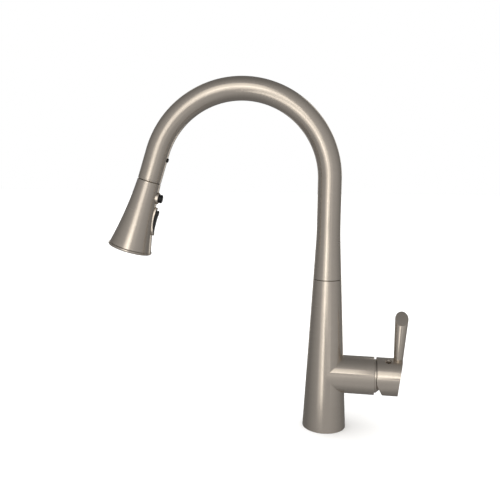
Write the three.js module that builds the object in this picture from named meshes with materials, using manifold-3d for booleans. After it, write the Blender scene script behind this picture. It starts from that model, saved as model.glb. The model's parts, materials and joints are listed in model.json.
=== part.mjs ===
// A single-handle pull-down kitchen faucet, in millimetres, +Z up.
// The origin is at the centre of the base's underside.
// The handle points along +X, and the front of the faucet looks along -Y.
import * as THREE from "three";
import { mergeVertices } from "three/addons/utils/BufferGeometryUtils.js";
import Module from "manifold-3d";

// ---- driving dimensions ----
const gap = 0.3; // clearance between pieces that touch
const run = 0.5; // clearance between pieces that slide or turn
const radians = Math.PI / 180;

const baseRadius = 26.3; // tapered body, at the deck
const neckFlare = 2.85; // at the swivel seam the tapered body is this much wider than the tube
const bodyHeight = 184;
const bodyWall = 2.8;
const blendStart = 222; // the taper carries on above the seam up to here
const blendEnd = 250; // and has become the tube by here

const tubeRadius = 14;
const tubeWall = 1.2;
const riserTop = 302.7; // height at which the arch begins
const archRadius = 104.55; // of the tube's centre line
const outletTilt = 17 * radians; // of the outlet from plumb, away from the body
const outletLength = 35.5;
const spoutRest = 6.55 * radians; // the spout's swing towards the front

const handleHeight = 67.1; // axis of the handle above the deck
const stubReach = 59.1; // end of the side stub from the body's axis
const stubWall = 3.2;
const cartridgeRadius = 17.3;
const pivotReach = 47; // the lever's tilt axis from the body's axis
const domeRadius = 24.4; // ball-shaped neck, about the tilt axis
const capReach = 89.5; // middle of the cap's outer face
const capCrown = 130; // radius across the cap's outer face
const capLean = 6.5 * radians;
const reliefLean = 22.5 * radians; // bevel under the cap that lets it tilt

const leverReach = 86.75; // lever's axis, where it leaves the cap
const leverLean = 2.44 * radians;
const leverFoot = 5.4; // radius
const leverHead = 7.8; // radius
const leverTop = 146.6; // height of its tip
const leverCut = 43.7 * radians;

const hoseRadius = 6;
const hoseSetback = 7.5; // of the hose from the body's axis, beside the valve

const headLength = 86.6;
const headWall = 1.5;
const headFlare = [14.1, 0.05, 0.00105]; // radius = a + b*s + c*s*s, s down from the seam
const lipHeight = 3.5;
const lipProud = 0.75; // beyond the shell that it closes
const pauseAt = 18.5; // distances of the two controls below the seam
const rockerAt = 48;
const rockerLength = 34.2;
const rockerWidth = 11.2;
const dockScrewAt = 29.5; // above the seam

// ---- sizes that follow from them ----
const neckRadius = tubeRadius + neckFlare;
const stubBore = cartridgeRadius + 2.3;
const stubRadius = stubBore + stubWall;
const coneRadius = (z) => baseRadius - ((baseRadius - neckRadius) * z) / bodyHeight;
const tubeBore = tubeRadius - tubeWall;
const swivelBore = tubeRadius - 0.1;
const archLength = archRadius * (Math.PI - outletTilt);
const capRadius = stubRadius - 0.2;
const headRadius = (s) => headFlare[0] + headFlare[1] * s + headFlare[2] * s * s;
const shellEnd = headLength - lipHeight - gap;
const lipRadius = headRadius(shellEnd) + lipProud;
const headSlope = (s) => Math.atan(headFlare[1] + 2 * headFlare[2] * s);
const hubBore = hoseRadius + 2.6;

// ---- solids ----
const wasm = await Module();
wasm.setup();

function toSolid(geometry) {
  const bare = geometry.clone();
  bare.deleteAttribute("normal");
  bare.deleteAttribute("uv");
  const merged = mergeVertices(bare, 1e-4);
  const mesh = new wasm.Mesh({
    numProp: 3,
    vertProperties: merged.attributes.position.array,
    triVerts: new Uint32Array(merged.index.array),
  });
  return new wasm.Manifold(mesh);
}

function fromSolid(solid) {
  const { vertProperties, triVerts } = solid.getMesh();
  const geometry = new THREE.BufferGeometry();
  geometry.setAttribute("position", new THREE.BufferAttribute(vertProperties, 3));
  geometry.setIndex(new THREE.BufferAttribute(triVerts, 1));
  return geometry;
}

function combine(how, first, others) {
  let solid = toSolid(first);
  for (const other of others) solid = solid[how](toSolid(other));
  return fromSolid(solid);
}

const cut = (first, ...others) => combine("subtract", first, others);
const join = (first, ...others) => combine("add", first, others);
const common = (first, ...others) => combine("intersect", first, others);

// A profile of [radius, height] points turned about +Z.
// It closes on itself unless both ends are on the axis.
function turned(profile, segments) {
  const closed = profile[0][0] > 0 || profile.at(-1)[0] > 0;
  const loop = closed ? [...profile, profile[0]] : [...profile];
  let area = 0;
  loop.forEach(([r, z], i) => {
    const [nextR, nextZ] = loop[(i + 1) % loop.length];
    area += r * nextZ - nextR * z;
  });
  if (area < 0) loop.reverse();
  const points = loop.map(([r, z]) => new THREE.Vector2(r, z));
  return new THREE.LatheGeometry(points, segments).rotateX(Math.PI / 2);
}

const ring = (inner, outer, from, to, segments) =>
  turned([[inner, from], [outer, from], [outer, to], [inner, to]], segments);

const disc = (radius, from, to, segments) =>
  turned([[0, from], [radius, from], [radius, to], [0, to]], segments);

const rod = (radius, length, segments) => disc(radius, -length / 2, length / 2, segments);

// A rubber ring with a six-sided section.
function roundRing(inner, outer, middle, segments) {
  const half = (outer - inner) / 2;
  const section = [];
  for (let i = 0; i < 6; i++) {
    const turn = (i * Math.PI) / 3;
    section.push([inner + half + half * Math.cos(turn), middle + half * Math.sin(turn)]);
  }
  return turned(section, segments);
}

// Points of a saw-tooth thread form on a turned piece, from one height to another.
function thread(crest, root, from, to, pitches) {
  const points = [];
  const pitch = (to - from) / pitches;
  for (let i = 0; i < pitches; i++) {
    points.push([crest, from + pitch * (i + 0.1)]);
    points.push([crest, from + pitch * (i + 0.4)]);
    points.push([root, from + pitch * (i + 0.75)]);
  }
  return points;
}

// An outline of [x, y] points pushed along +Z.
function pushed(outline, from, to) {
  const shape = new THREE.Shape(outline.map(([x, y]) => new THREE.Vector2(x, y)));
  const options = { depth: to - from, bevelEnabled: false, curveSegments: 8 };
  return new THREE.ExtrudeGeometry(shape, options).translate(0, 0, from);
}

function circle(radius, sides) {
  const points = [];
  for (let i = 0; i < sides; i++) {
    const turn = (i * 2 * Math.PI) / sides;
    points.push(new THREE.Vector2(radius * Math.cos(turn), radius * Math.sin(turn)));
  }
  return points;
}

// A hose or tube along a curve, hollow where it has a bore.
function swept(curve, radius, bore, sides, steps) {
  const shape = new THREE.Shape(circle(radius, sides));
  if (bore) shape.holes.push(new THREE.Path(circle(bore, sides)));
  return new THREE.ExtrudeGeometry(shape, { steps, extrudePath: curve, bevelEnabled: false });
}

// A boat-shaped outline, pointed a little at both ends, along X.
function boat(length, width, inset) {
  const points = [];
  const sides = 20;
  for (let i = 0; i < sides; i++) {
    const turn = (i * 2 * Math.PI) / sides;
    const x = (length / 2 - inset) * Math.cos(turn);
    const y = (width / 2 - inset) * Math.sign(Math.sin(turn)) * Math.abs(Math.sin(turn)) ** 0.8;
    points.push([x, y]);
  }
  return points;
}

class Helix extends THREE.Curve {
  constructor(radius, from, to, turns) {
    super();
    Object.assign(this, { radius, from, to, turns });
  }

  getPoint(t) {
    const turn = t * this.turns * 2 * Math.PI;
    const z = this.from + (this.to - this.from) * t;
    return new THREE.Vector3(this.radius * Math.cos(turn), this.radius * Math.sin(turn), z);
  }
}

// The spout's centre line by length along it from the deck: up the riser, over the arch, down the outlet.
function spoutPoint(length) {
  if (length < riserTop) return new THREE.Vector3(0, 0, length);
  const turn = Math.min((length - riserTop) / archRadius, Math.PI - outletTilt);
  const beyond = Math.max(length - riserTop - archLength, 0);
  const x = -archRadius * (1 - Math.cos(turn)) - beyond * Math.sin(outletTilt);
  const z = riserTop + archRadius * Math.sin(turn) - beyond * Math.cos(outletTilt);
  return new THREE.Vector3(x, 0, z);
}

class SpoutLine extends THREE.Curve {
  constructor(from, to) {
    super();
    Object.assign(this, { from, to });
  }

  getPoint(t) {
    return spoutPoint(this.from + (this.to - this.from) * t);
  }
}

// The hose inside the body: up beside the valve, then across to the body's axis.
class BodyHoseLine extends THREE.Curve {
  constructor(from, to, bendFrom, bendTo) {
    super();
    Object.assign(this, { from, to, bendFrom, bendTo });
  }

  getPoint(t) {
    const z = this.from + (this.to - this.from) * t;
    const across = THREE.MathUtils.smoothstep(z, this.bendFrom, this.bendTo);
    return new THREE.Vector3(-hoseSetback * (1 - across), 0, z);
  }
}

// ---- finishes ----
const finishes = {
  nickel: { color: 0x9d968c, roughness: 0.32, metalness: 1 },
  brass: { color: 0xb08d4f, roughness: 0.4, metalness: 1 },
  steel: { color: 0xa9a9ab, roughness: 0.35, metalness: 1 },
  rubber: { color: 0x1c1c1d, roughness: 0.8, metalness: 0 },
  black: { color: 0x141415, roughness: 0.45, metalness: 0 },
  grey: { color: 0x8b8d8f, roughness: 0.5, metalness: 0 },
  white: { color: 0xe9e6df, roughness: 0.5, metalness: 0 },
  ceramic: { color: 0xf3f0ea, roughness: 0.2, metalness: 0 },
  braid: { color: 0x6d6f72, roughness: 0.6, metalness: 0 },
};

function part(parent, name, finish, geometry) {
  const mesh = new THREE.Mesh(geometry, new THREE.MeshStandardMaterial(finishes[finish]));
  mesh.name = name;
  parent.add(mesh);
  return mesh;
}

const faucet = new THREE.Group();

// Pieces on the handle's axis: +X leads away from the body, and height is measured from the axis.
const handle = new THREE.Group();
handle.position.z = handleHeight;
faucet.add(handle);

// Pieces that turn on the handle's axis are made standing up, with z as the distance from the body's axis.
const stack = new THREE.Group();
stack.rotation.y = Math.PI / 2;
handle.add(stack);

const spout = new THREE.Group();
spout.rotation.z = spoutRest;
faucet.add(spout);

// Pieces of the spray head hang down from the seam: z = -s, and +X faces the body.
const head = new THREE.Group();
head.position.copy(spoutPoint(riserTop + archLength + outletLength));
head.rotation.y = outletTilt;
spout.add(head);

const hang = (profile) => profile.map(([r, s]) => [r, -s]);

// ---- body and base ----
const insertSeat = { radius: baseRadius - 4.1, depth: 14 };
const gasketGroove = { inner: baseRadius - 2.5, outer: baseRadius - 1, depth: 1.8 };
const hubSeat = { radius: neckRadius - 2.65, depth: 4 };
const hubThread = { radius: neckRadius - 3.85, depth: 26 };
const manifoldFront = 14; // shoulder in the stub that the valve manifold seats on

function bodyShell() {
  const edge = 0.6;
  const outside = turned(
    [[0, 0], [baseRadius - edge, 0], [coneRadius(edge), edge],
    [coneRadius(bodyHeight - edge), bodyHeight - edge],
      [neckRadius - edge, bodyHeight], [0, bodyHeight]],
    36,
  );
  const stub = turned([[0, 0], [stubRadius, 0], [stubRadius, stubReach - edge],
    [stubRadius - edge, stubReach],
    [0, stubReach]], 36).rotateY(Math.PI / 2).translate(0, 0, handleHeight);
  const boreTop = bodyHeight - hubThread.depth - 6;
  const inside = turned(
    [[0, -1], [insertSeat.radius, -1], [insertSeat.radius, insertSeat.depth],
      [coneRadius(insertSeat.depth) - bodyWall - 1, insertSeat.depth],
      [coneRadius(boreTop) - bodyWall, boreTop],
      [hubThread.radius, boreTop + 5], [hubThread.radius, bodyHeight - hubSeat.depth],
      [hubSeat.radius, bodyHeight - hubSeat.depth], [hubSeat.radius, bodyHeight + 1],
      [0, bodyHeight + 1]],
    28,
  );
  const stubHole = disc(stubBore, manifoldFront, stubReach + 1, 28).rotateY(Math.PI / 2)
    .translate(0, 0, handleHeight);
  const groove = ring(gasketGroove.inner, gasketGroove.outer, -1, gasketGroove.depth, 36);
  return cut(join(outside, stub), inside, stubHole, groove);
}

function mountingInsert() {
  const top = insertSeat.depth - gap;
  const outer = insertSeat.radius - gap;
  const inner = hoseSetback + hoseRadius + 2.5;
  const profile = [[outer - 0.6, gap], ...thread(outer, outer - 0.8, gap + 0.6, top, 2), [outer - 1, top],
    [inner + 0.8, top], ...thread(inner, inner + 0.8, gap + 0.6, top, 2).reverse(), [inner + 0.8, gap]];
  return turned(profile, 24);
}

part(faucet, "body_shell", "nickel", bodyShell());
part(faucet, "base_gasket", "rubber",
  ring(gasketGroove.inner + gap, gasketGroove.outer - gap, 0, gasketGroove.depth - gap, 36));
part(faucet, "mounting_insert", "brass", mountingInsert());

// ---- valve manifold and its three tails ----
const bossReach = manifoldFront - 4.2;
const bossRadius = 4.7;
const bossSpread = 9.1;
const bossDrop = 17; // bottom of the bosses below the handle's axis
const tailBore = 3;
const portRadius = 2.4;
const ports = [
  { name: "hot_nipple", side: -1, y: -7, z: 3.5 },
  { name: "outlet_nipple", side: 0, y: 0, z: -7 },
  { name: "cold_nipple", side: 1, y: 7, z: 3.5 },
];
const manifoldBack = manifoldFront + 6;

const portHoles = (from, to, radius) => ports.map(({ y, z }) =>
  disc(radius, from, to, 10).rotateY(Math.PI / 2).translate(0, y, z));

function valveManifold() {
  const plate = disc(stubBore - 0.4, manifoldFront + gap, manifoldBack, 28).rotateY(Math.PI / 2);
  const bosses = ports.map(({ side, z }) =>
    disc(bossRadius, -bossDrop, z + 4.2, 14).translate(bossReach, side * bossSpread, 0));
  const drops = ports.map(({ side, z }) =>
    disc(tailBore, -bossDrop - 1, z + 2.5, 12).translate(bossReach, side * bossSpread, 0));
  return cut(join(plate, ...bosses), ...drops, ...portHoles(bossReach, manifoldBack + 1, portRadius));
}

function nipple() {
  const bore = 1.7;
  const outer = tailBore - gap;
  return turned([[bore, -20], [3.2, -20], ...thread(3.9, 3.3, -20, -4.5, 3), [4.2, -4.2], [4.2, -gap],
    [outer, -gap], [outer, 7], [bore, 7]], 10);
}

part(handle, "valve_manifold", "brass", valveManifold());
ports.forEach(({ name, side }) => {
  part(handle, name, "brass", nipple()).position.set(bossReach, side * bossSpread, -bossDrop);
});

// ---- cartridge ----
const sealBack = manifoldBack + gap + 1;
const footBack = sealBack + gap + 3.4;
const fixedBack = footBack + gap + 3;
const movingBack = fixedBack + gap + 3;
const carrierBack = movingBack + gap + 6.3;
const housingBore = cartridgeRadius - 2.9;
const rotorNeck = housingBore - 2.4;
const rotorFlange = carrierBack + gap + 2.6;
const shoulderBack = rotorFlange + gap + 6;
const rotorBack = shoulderBack + 6.5;
const ballReach = pivotReach - 10.4; // the stem's ball in the disc carrier
const stemHalf = 3.5;
const stemReach = capReach - 9.5;
const pinRadius = 1.4;
const discTravel = 3.6;

const drilledDisc = (radius, from, to, holeRadius) =>
  cut(disc(radius, from, to, 24).rotateY(Math.PI / 2), ...portHoles(from - 1, to + 1, holeRadius));

part(handle, "cartridge_seal", "rubber", drilledDisc(12.6, manifoldBack + gap, sealBack, 3));
part(handle, "cartridge_foot", "white", drilledDisc(cartridgeRadius, sealBack + gap, footBack, portRadius));
part(handle, "fixed_disc", "ceramic", drilledDisc(housingBore - 0.7, footBack + gap, fixedBack, portRadius));

function movingDisc() {
  const radius = housingBore - discTravel - 0.3;
  const blank = disc(radius, fixedBack + gap, movingBack, 22).rotateY(Math.PI / 2);
  const pocket = pushed([[-4.5, -7.5], [2.5, -5], [2.5, 5], [-4.5, 7.5]], fixedBack, fixedBack + 2);
  return cut(blank, pocket.rotateY(Math.PI / 2));
}

function discCarrier() {
  const radius = housingBore - discTravel - 0.4;
  const blank = disc(radius, movingBack + gap, carrierBack, 22);
  return cut(blank, disc(2.9, ballReach - 2.8, carrierBack + 1, 14));
}

function cartridgeHousing() {
  const inner = rotorNeck + gap;
  return turned([[housingBore, footBack + gap], [cartridgeRadius, footBack + gap],
    [cartridgeRadius, shoulderBack],
    [inner, shoulderBack], [inner, rotorFlange + gap], [housingBore, rotorFlange + gap]], 28);
}

function cartridgeRotor() {
  const blank = turned([[0, carrierBack + gap], [housingBore - gap - 0.1, carrierBack + gap],
    [housingBore - gap - 0.1, rotorFlange], [rotorNeck, rotorFlange], [rotorNeck, rotorBack],
    [0, rotorBack]], 24);
  const halfSlot = stemHalf + 5;
  const slot = new THREE.BoxGeometry(2 * halfSlot, 2 * (stemHalf + gap), 60);
  const pinHole = rod(pinRadius + gap, 4 * rotorNeck, 12).rotateX(Math.PI / 2);
  return cut(blank, slot.translate(0, 0, pivotReach), pinHole.translate(0, 0, pivotReach));
}

function cartridgeStem() {
  const ball = 2.4;
  const tip = turned([[0, ballReach - ball], [1.6, ballReach - 1.8], [ball, ballReach - 0.6],
    [ball, ballReach + 0.6], [1.7, ballReach + 1.8], [1.7, pivotReach - 2], [0, pivotReach - 2]], 12);
  const length = stemReach - pivotReach + 4.5;
  const bar = new THREE.BoxGeometry(2 * stemHalf, 2 * stemHalf, length);
  const pinHole = rod(pinRadius + gap, 6 * stemHalf, 12).rotateX(Math.PI / 2);
  return cut(join(tip, bar.translate(0, 0, stemReach - length / 2)), pinHole.translate(0, 0, pivotReach));
}

part(handle, "moving_disc", "ceramic", movingDisc());
part(stack, "disc_carrier", "white", discCarrier());
part(stack, "cartridge_housing", "white", cartridgeHousing());
part(stack, "cartridge_rotor", "grey", cartridgeRotor());
part(stack, "cartridge_stem", "steel", cartridgeStem());
part(stack, "stem_pin", "steel", rod(pinRadius, 2 * rotorNeck - 1.5, 12).rotateX(Math.PI / 2))
  .position.z = pivotReach;

// ---- nut and ball-shaped neck that close the stub ----
const nutFront = shoulderBack + gap;
const nutBack = nutFront + 6.5;
const nutBore = rotorNeck + 0.7;

function retainingNut() {
  const outer = stubBore - 0.5;
  const root = outer - 0.8;
  const blank = turned([[nutBore, nutFront], [root, nutFront],
    ...thread(outer, root, nutFront, nutBack, 2),
    [root, nutBack], [nutBore, nutBack]], 22);
  const notches = [0, 1].map((i) =>
    new THREE.BoxGeometry(60, 4, 4).rotateZ((i * Math.PI) / 2).translate(0, 0, nutBack));
  return cut(blank, ...notches);
}

const domeFront = nutBack + 0.2;
const domeSpigot = stubBore - 0.5;
const domeOring = { inner: domeSpigot - 1.6, outer: domeSpigot - 0.1, z: stubReach - 1.8 };

function domeRing() {
  const ball = [];
  const from = stubReach + gap;
  const to = stubReach + 7;
  const steps = 4;
  for (let i = 0; i <= steps; i++) {
    const z = from + ((to - from) * i) / steps;
    ball.push([Math.sqrt(domeRadius ** 2 - (z - pivotReach) ** 2), z]);
  }
  const bore = nutBore + 0.2;
  const groove = domeOring.inner - gap;
  return turned([[bore, domeFront], [domeSpigot, domeFront], [domeSpigot, domeOring.z - 1.1],
    [groove, domeOring.z - 1.1], [groove, domeOring.z + 1.1], [domeSpigot, domeOring.z + 1.1],
    [domeSpigot, from],
    ...ball, [bore, to]], 28);
}

part(stack, "retaining_nut", "brass", retainingNut());
part(stack, "dome_ring", "nickel", domeRing());
part(stack, "dome_oring", "rubber", roundRing(domeOring.inner, domeOring.outer, domeOring.z, 20));

// ---- cap, lever and set screw ----
const capRim = stubReach + 2.5;
const socketRadius = domeRadius + 0.6;
const rimBore = Math.sqrt(socketRadius ** 2 - (capRim - pivotReach) ** 2);
const screwReach = 75.2;
const screwLean = 20 * radians; // of the screw, from straight up towards the front
const screwRadius = 2;
const leverSeat = capRadius - 2.7; // floor of the lever's seat above the handle's axis
const studRadius = 3;
const studDepth = 11;
const leverSlope = (leverHead - leverFoot) / (leverTop - handleHeight - leverSeat - 7);

// Turns a piece made standing at the origin into the lever's place: leaning out from the cap.
const atLever = (geometry) => geometry.rotateY(leverLean).translate(leverReach, 0, leverSeat);

const atScrew = (geometry) => geometry.rotateX(screwLean).translate(screwReach, 0, 0);

function capFace() {
  const height = 4 * capRadius;
  const outline = [[-capReach, -height], [0, -height]];
  const reach = capRadius + 4;
  for (let i = -6; i <= 6; i++) {
    const y = (reach * i) / 6;
    outline.push([Math.sqrt(capCrown ** 2 - y * y) - capCrown, y]);
  }
  outline[1][0] = outline[2][0];
  outline.push([outline.at(-1)[0], height], [-capReach, height]);
  return pushed(outline, -height, height).rotateY(capLean).translate(capReach, 0, 0);
}

function capSocket() {
  const points = [[0, capRim - 5], [rimBore, capRim - 5]];
  const steps = 7;
  const end = Math.acos((capRim - pivotReach) / socketRadius);
  for (let i = 0; i <= steps; i++) {
    const turn = end * (1 - i / steps);
    points.push([socketRadius * Math.sin(turn), pivotReach + socketRadius * Math.cos(turn)]);
  }
  points.at(-1)[0] = 0;
  return turned(points, 28).rotateY(Math.PI / 2);
}

function handleCap() {
  const edge = 0.8;
  const blank = turned([[0, capRim], [capRadius - edge, capRim], [capRadius, capRim + edge],
    [capRadius, capReach + 12], [0, capReach + 12]], 40).rotateY(Math.PI / 2);
  const reliefSize = 4 * capRadius;
  const relief = new THREE.BoxGeometry(reliefSize, reliefSize, reliefSize)
    .translate(-reliefSize / 2, 0, 0)
    .rotateY(-reliefLean)
    .translate(capRim, 0, -3);
  const bar = 2 * (stemHalf + gap);
  const stemHole = new THREE.BoxGeometry(30, bar, bar).translate(stemReach + gap - 15, 0, 0);
  const screwHole = atScrew(turned([[0, 0], [screwRadius + gap, 0], [screwRadius + gap, 15], [3.75, 15.5],
    [3.75, 40], [0, 40]], 16));
  const seat = atLever(turned([[0, -studDepth - gap], [studRadius + gap, -studDepth - gap],
    [studRadius + gap, 0],
    [leverFoot + gap, 0], [leverFoot + gap + 12 * leverSlope, 12], [0, 12]], 24));
  return cut(common(blank, capFace()), capSocket(), relief, stemHole, screwHole, seat);
}

function leverRod() {
  const length = (leverTop - handleHeight - leverSeat) / Math.cos(leverLean) + 6;
  const blank = atLever(turned([[0, -studDepth], [studRadius, -studDepth], [studRadius, gap],
    [leverFoot, gap],
    [leverHead, length - 13], [leverHead, length], [0, length]], 24));
  const size = 10 * leverHead;
  const topReach = leverReach + (leverTop - handleHeight - leverSeat) * Math.tan(leverLean);
  const slice = new THREE.BoxGeometry(size, size, size)
    .translate(0, 0, size / 2)
    .rotateX(leverCut)
    .translate(topReach, leverHead, leverTop - handleHeight);
  return cut(blank, slice);
}

function setScrew() {
  const from = stemHalf / Math.cos(screwLean) + 1.3;
  const blank = turned([[0, from], [screwRadius, from + 1.2], [screwRadius, 13.5], [0, 13.5]], 12);
  return atScrew(cut(blank, disc(1.15, 10.5, 14.5, 6)));
}

part(handle, "handle_cap", "nickel", handleCap());
part(handle, "lever_rod", "nickel", leverRod());
part(handle, "set_screw", "steel", setScrew());

// ---- swivel between body and spout ----
const hubSpigot = swivelBore - 1.3;
const hubTop = bodyHeight + 30;
const ringGroove = hubSpigot - 1;
const glideRings = [bodyHeight + 2, bodyHeight + 19];
const glideHeight = 5;
const hubOring = bodyHeight + 12.5;
const snapRing = { z: hubTop - 3.5, height: 1.6, inner: hubSpigot - 1.2, outer: swivelBore + 0.2 };

function swivelHub() {
  const bottom = bodyHeight - hubThread.depth;
  const threadTop = bodyHeight - hubSeat.depth;
  const crest = hubThread.radius - gap;
  const grooves = [
    [glideRings[0] - gap, glideRings[0] + glideHeight + gap],
    [hubOring - 1.3, hubOring + 1.3],
    [glideRings[1] - gap, glideRings[1] + glideHeight + gap],
  ];
  const spigot = grooves.flatMap(([from, to]) =>
    [[hubSpigot, from], [ringGroove - gap, from], [ringGroove - gap, to], [hubSpigot, to]]);
  const snap = snapRing.inner - gap;
  return turned([[hubBore, bottom], [crest - 0.8, bottom],
    ...thread(crest, crest - 0.8, bottom, threadTop, 3),
    [crest - 0.8, threadTop + gap], [hubSeat.radius - gap, threadTop + gap],
    [hubSeat.radius - gap, bodyHeight],
    [hubSpigot, bodyHeight], ...spigot, [hubSpigot, snapRing.z - gap], [snap, snapRing.z - gap],
    [snap, snapRing.z + snapRing.height + gap], [hubSpigot, snapRing.z + snapRing.height + gap],
    [hubSpigot, hubTop], [hubBore, hubTop]], 20);
}

function openRing({ inner, outer, height }) {
  const blank = ring(inner, outer, 0, height, 24);
  return cut(blank, new THREE.BoxGeometry(2 * outer, 3, 3 * height).translate(outer, 0, 0));
}

part(faucet, "swivel_hub", "brass", swivelHub());
glideRings.forEach((z, i) => {
  part(faucet, ["lower_glide_ring", "upper_glide_ring"][i], "white",
    ring(ringGroove, swivelBore - gap, z, z + glideHeight, 24));
});
part(faucet, "hub_oring", "rubber", roundRing(ringGroove, swivelBore - gap, hubOring, 20));
part(faucet, "snap_ring", "steel", openRing(snapRing)).position.z = snapRing.z;

// ---- spout ----
function taperProfile() {
  const points = [[neckRadius - 0.5, bodyHeight + 0.4], [neckRadius, bodyHeight + 0.9]];
  const start = coneRadius(blendStart);
  const steps = 6;
  for (let i = 0; i <= steps; i++) {
    const t = i / steps;
    const ease = t * (2 - t);
    points.push([start + (tubeRadius + 0.1 - start) * ease, blendStart + (blendEnd - 2 - blendStart) * t]);
  }
  const middle = tubeRadius - tubeWall / 2;
  points.push([middle, blendEnd], [middle, bodyHeight + 0.4]);
  return points;
}

function spoutTube() {
  const tubeLine = new SpoutLine(bodyHeight + 8, riserTop + archLength + outletLength - gap);
  const tube = swept(tubeLine, tubeRadius, tubeBore, 20, 25);
  const bore = turned([[0, bodyHeight - 1], [swivelBore, bodyHeight - 1], [swivelBore, snapRing.z - gap],
    [snapRing.outer + gap, snapRing.z - gap], [snapRing.outer + gap, snapRing.z + snapRing.height + gap],
    [swivelBore, snapRing.z + snapRing.height + gap], [swivelBore, hubTop + run],
    [tubeBore - 1, hubTop + 2.5],
    [0, hubTop + 2.5]], 20);
  const screwHole = rod(2.3, 12, 10).rotateY(Math.PI / 2).translate(tubeRadius, 0, dockScrewAt)
    .rotateY(outletTilt).translate(head.position.x, 0, head.position.z);
  return cut(join(tube, turned(taperProfile(), 28)), bore, screwHole);
}

part(spout, "spout_tube", "nickel", spoutTube());

// ---- docking collar in the outlet ----
const collarOuter = tubeBore - gap;
const collarInner = collarOuter - 1.5;
const collarLength = 33;

function dockCollar() {
  const collar = turned([[collarInner + 0.6, 0.5], [collarOuter, 0.5], [collarOuter, collarLength],
    [collarInner + 0.6, collarLength], [collarInner, collarLength - 3], [collarInner, 3]], 24);
  return cut(collar, rod(2.3, 12, 10).rotateY(Math.PI / 2).translate(tubeRadius - 2, 0, dockScrewAt));
}

part(head, "dock_collar", "black", dockCollar());
part(head, "dock_screw", "black",
  turned([[0, collarInner + gap], [2, collarInner + gap], [2, tubeRadius + gap], [2.6, tubeRadius + gap],
    [2.6, tubeRadius + 0.9], [1.9, tubeRadius + 1.3], [0, tubeRadius + 1.3]], 12)
    .rotateY(Math.PI / 2)).position.z = dockScrewAt;

// ---- hose, in three runs that part at the swivel and at the outlet ----
const ferruleTop = 29; // distances above the outlet seam
const hoseEnd = 24.3;
const archHoseEnd = riserTop + archLength;

part(faucet, "hose_lower_run", "braid",
  swept(new BodyHoseLine(1, bodyHeight, 95, 152), hoseRadius, 0, 10, 14));
part(spout, "hose_arch_run", "braid",
  swept(new SpoutLine(bodyHeight + gap, archHoseEnd), hoseRadius, 0, 10, 24));
part(head, "hose_outlet_run", "braid",
  disc(hoseRadius, hoseEnd, outletLength - gap, 10));

// ---- hose end: crimped ferrule and the nut that the head screws into ----
const nutOuter = collarInner - run;
const nutInner = nutOuter - 1.5;
const nutTop = 21;

part(head, "hose_ferrule", "steel", turned([[3, 12.5], [nutInner - 0.6, 12.5], [nutInner - 0.6, 17.2],
  [5.2, 17.2], [5.2, nutTop + gap], [hoseRadius + 0.9, nutTop + gap], [hoseRadius + 0.9, ferruleTop],
  [hoseRadius + gap, ferruleTop], [hoseRadius + gap, hoseEnd - gap], [3, hoseEnd - gap]], 16));
part(head, "hose_nut", "grey", turned([[nutInner, 0], [nutOuter, 0], [nutOuter, nutTop - 2],
  [nutOuter - 1.2, nutTop], [5.5, nutTop], [5.5, 17.5], [nutInner, 17.5]], 20));

// ---- spray head: shell, inlet and waterway ----
const inletRadius = nutInner - 0.4;
const coreRadius = 8;
const coreBore = 4.5;
const matFront = headLength - 9.6; // distance down to the rubber mat behind the spray face
const coreFlange = matFront - 5.5; // and to the flange that backs it

// A tilted place on the head's side: z leads outwards and x runs down the head.
function sidePlace(distance, slope) {
  const group = new THREE.Group();
  group.position.z = -distance;
  group.rotation.y = Math.PI / 2 - slope;
  head.add(group);
  group.updateMatrix();
  return group;
}

const rockerSlope = headSlope(rockerAt);
const pausePlace = sidePlace(pauseAt, headSlope(pauseAt));
const rockerPlace = sidePlace(rockerAt, rockerSlope);
const pauseBezelRadius = 7;
const pauseButtonRadius = 5.05;
const plungerRadius = 1.6;
const pivotX = 2; // of the rocker's pin, in the rocker's place
const pivotZ = headRadius(rockerAt) * Math.cos(rockerSlope) - 2.2;
const spoolReach = 10.9;
const spoolRadius = 2.4;
const spoolFlange = 3.1;
const flangeThick = 1;
const spoolNeck = 1.2;
const fingerAt = rockerAt + pivotX * Math.cos(rockerSlope) - spoolReach * Math.sin(rockerSlope);
const fingerHalf = 1;
const spoolEnd = fingerAt + 12.6;

function headShell() {
  const outside = [];
  const inside = [];
  const steps = 8;
  for (let i = 0; i <= steps; i++) {
    const s = gap + 0.1 + ((shellEnd - gap - 0.1) * i) / steps;
    outside.push([headRadius(s), s]);
    if (i > 0) inside.push([headRadius(s) - headWall, s]);
  }
  const plate = 3;
  const inner = inletRadius + 1;
  const inlet = [[headRadius(plate) - headWall, plate], [inner, plate], [inner, 0.4]];
  const profile = [...outside, ...inside.reverse(), ...inlet];
  const pauseHole = disc(pauseBezelRadius + gap, 9, 30, 18).applyMatrix4(pausePlace.matrix);
  const rockerHole = pushed(boat(rockerLength, rockerWidth, -gap), 10, 34).applyMatrix4(rockerPlace.matrix);
  return cut(turned(hang(profile), 28), pauseHole, rockerHole);
}

function headCore() {
  const flange = headRadius(coreFlange) - headWall - 0.9;
  const body = turned(hang([[coreBore, 9.3], [7.1, 9.3], [7.1, 3.6], [10.5, 3.6], [10.5, 10.2],
    [coreRadius, 12],
    [coreRadius, coreFlange - 5.5], [flange, coreFlange], [flange, matFront - gap], [9, matFront - gap],
    [coreBore, coreFlange - 1.5]]), 24);
  const lobe = disc(spoolRadius + 1.8, -(spoolEnd + 5), -(fingerAt + 5.6), 14).translate(spoolReach, 0, 0);
  const spoolHole = disc(spoolRadius + gap, -(spoolEnd + 3), -fingerAt, 12).translate(spoolReach, 0, 0);
  const flangeRoom = disc(spoolFlange + gap, -(fingerAt + 5.5), -(fingerAt - 4.5), 14)
    .translate(spoolReach, 0, 0);
  const plungerHole = disc(plungerRadius + gap, 0, 20, 10).applyMatrix4(pausePlace.matrix);
  return cut(join(body, lobe), spoolHole, flangeRoom, plungerHole);
}

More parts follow.
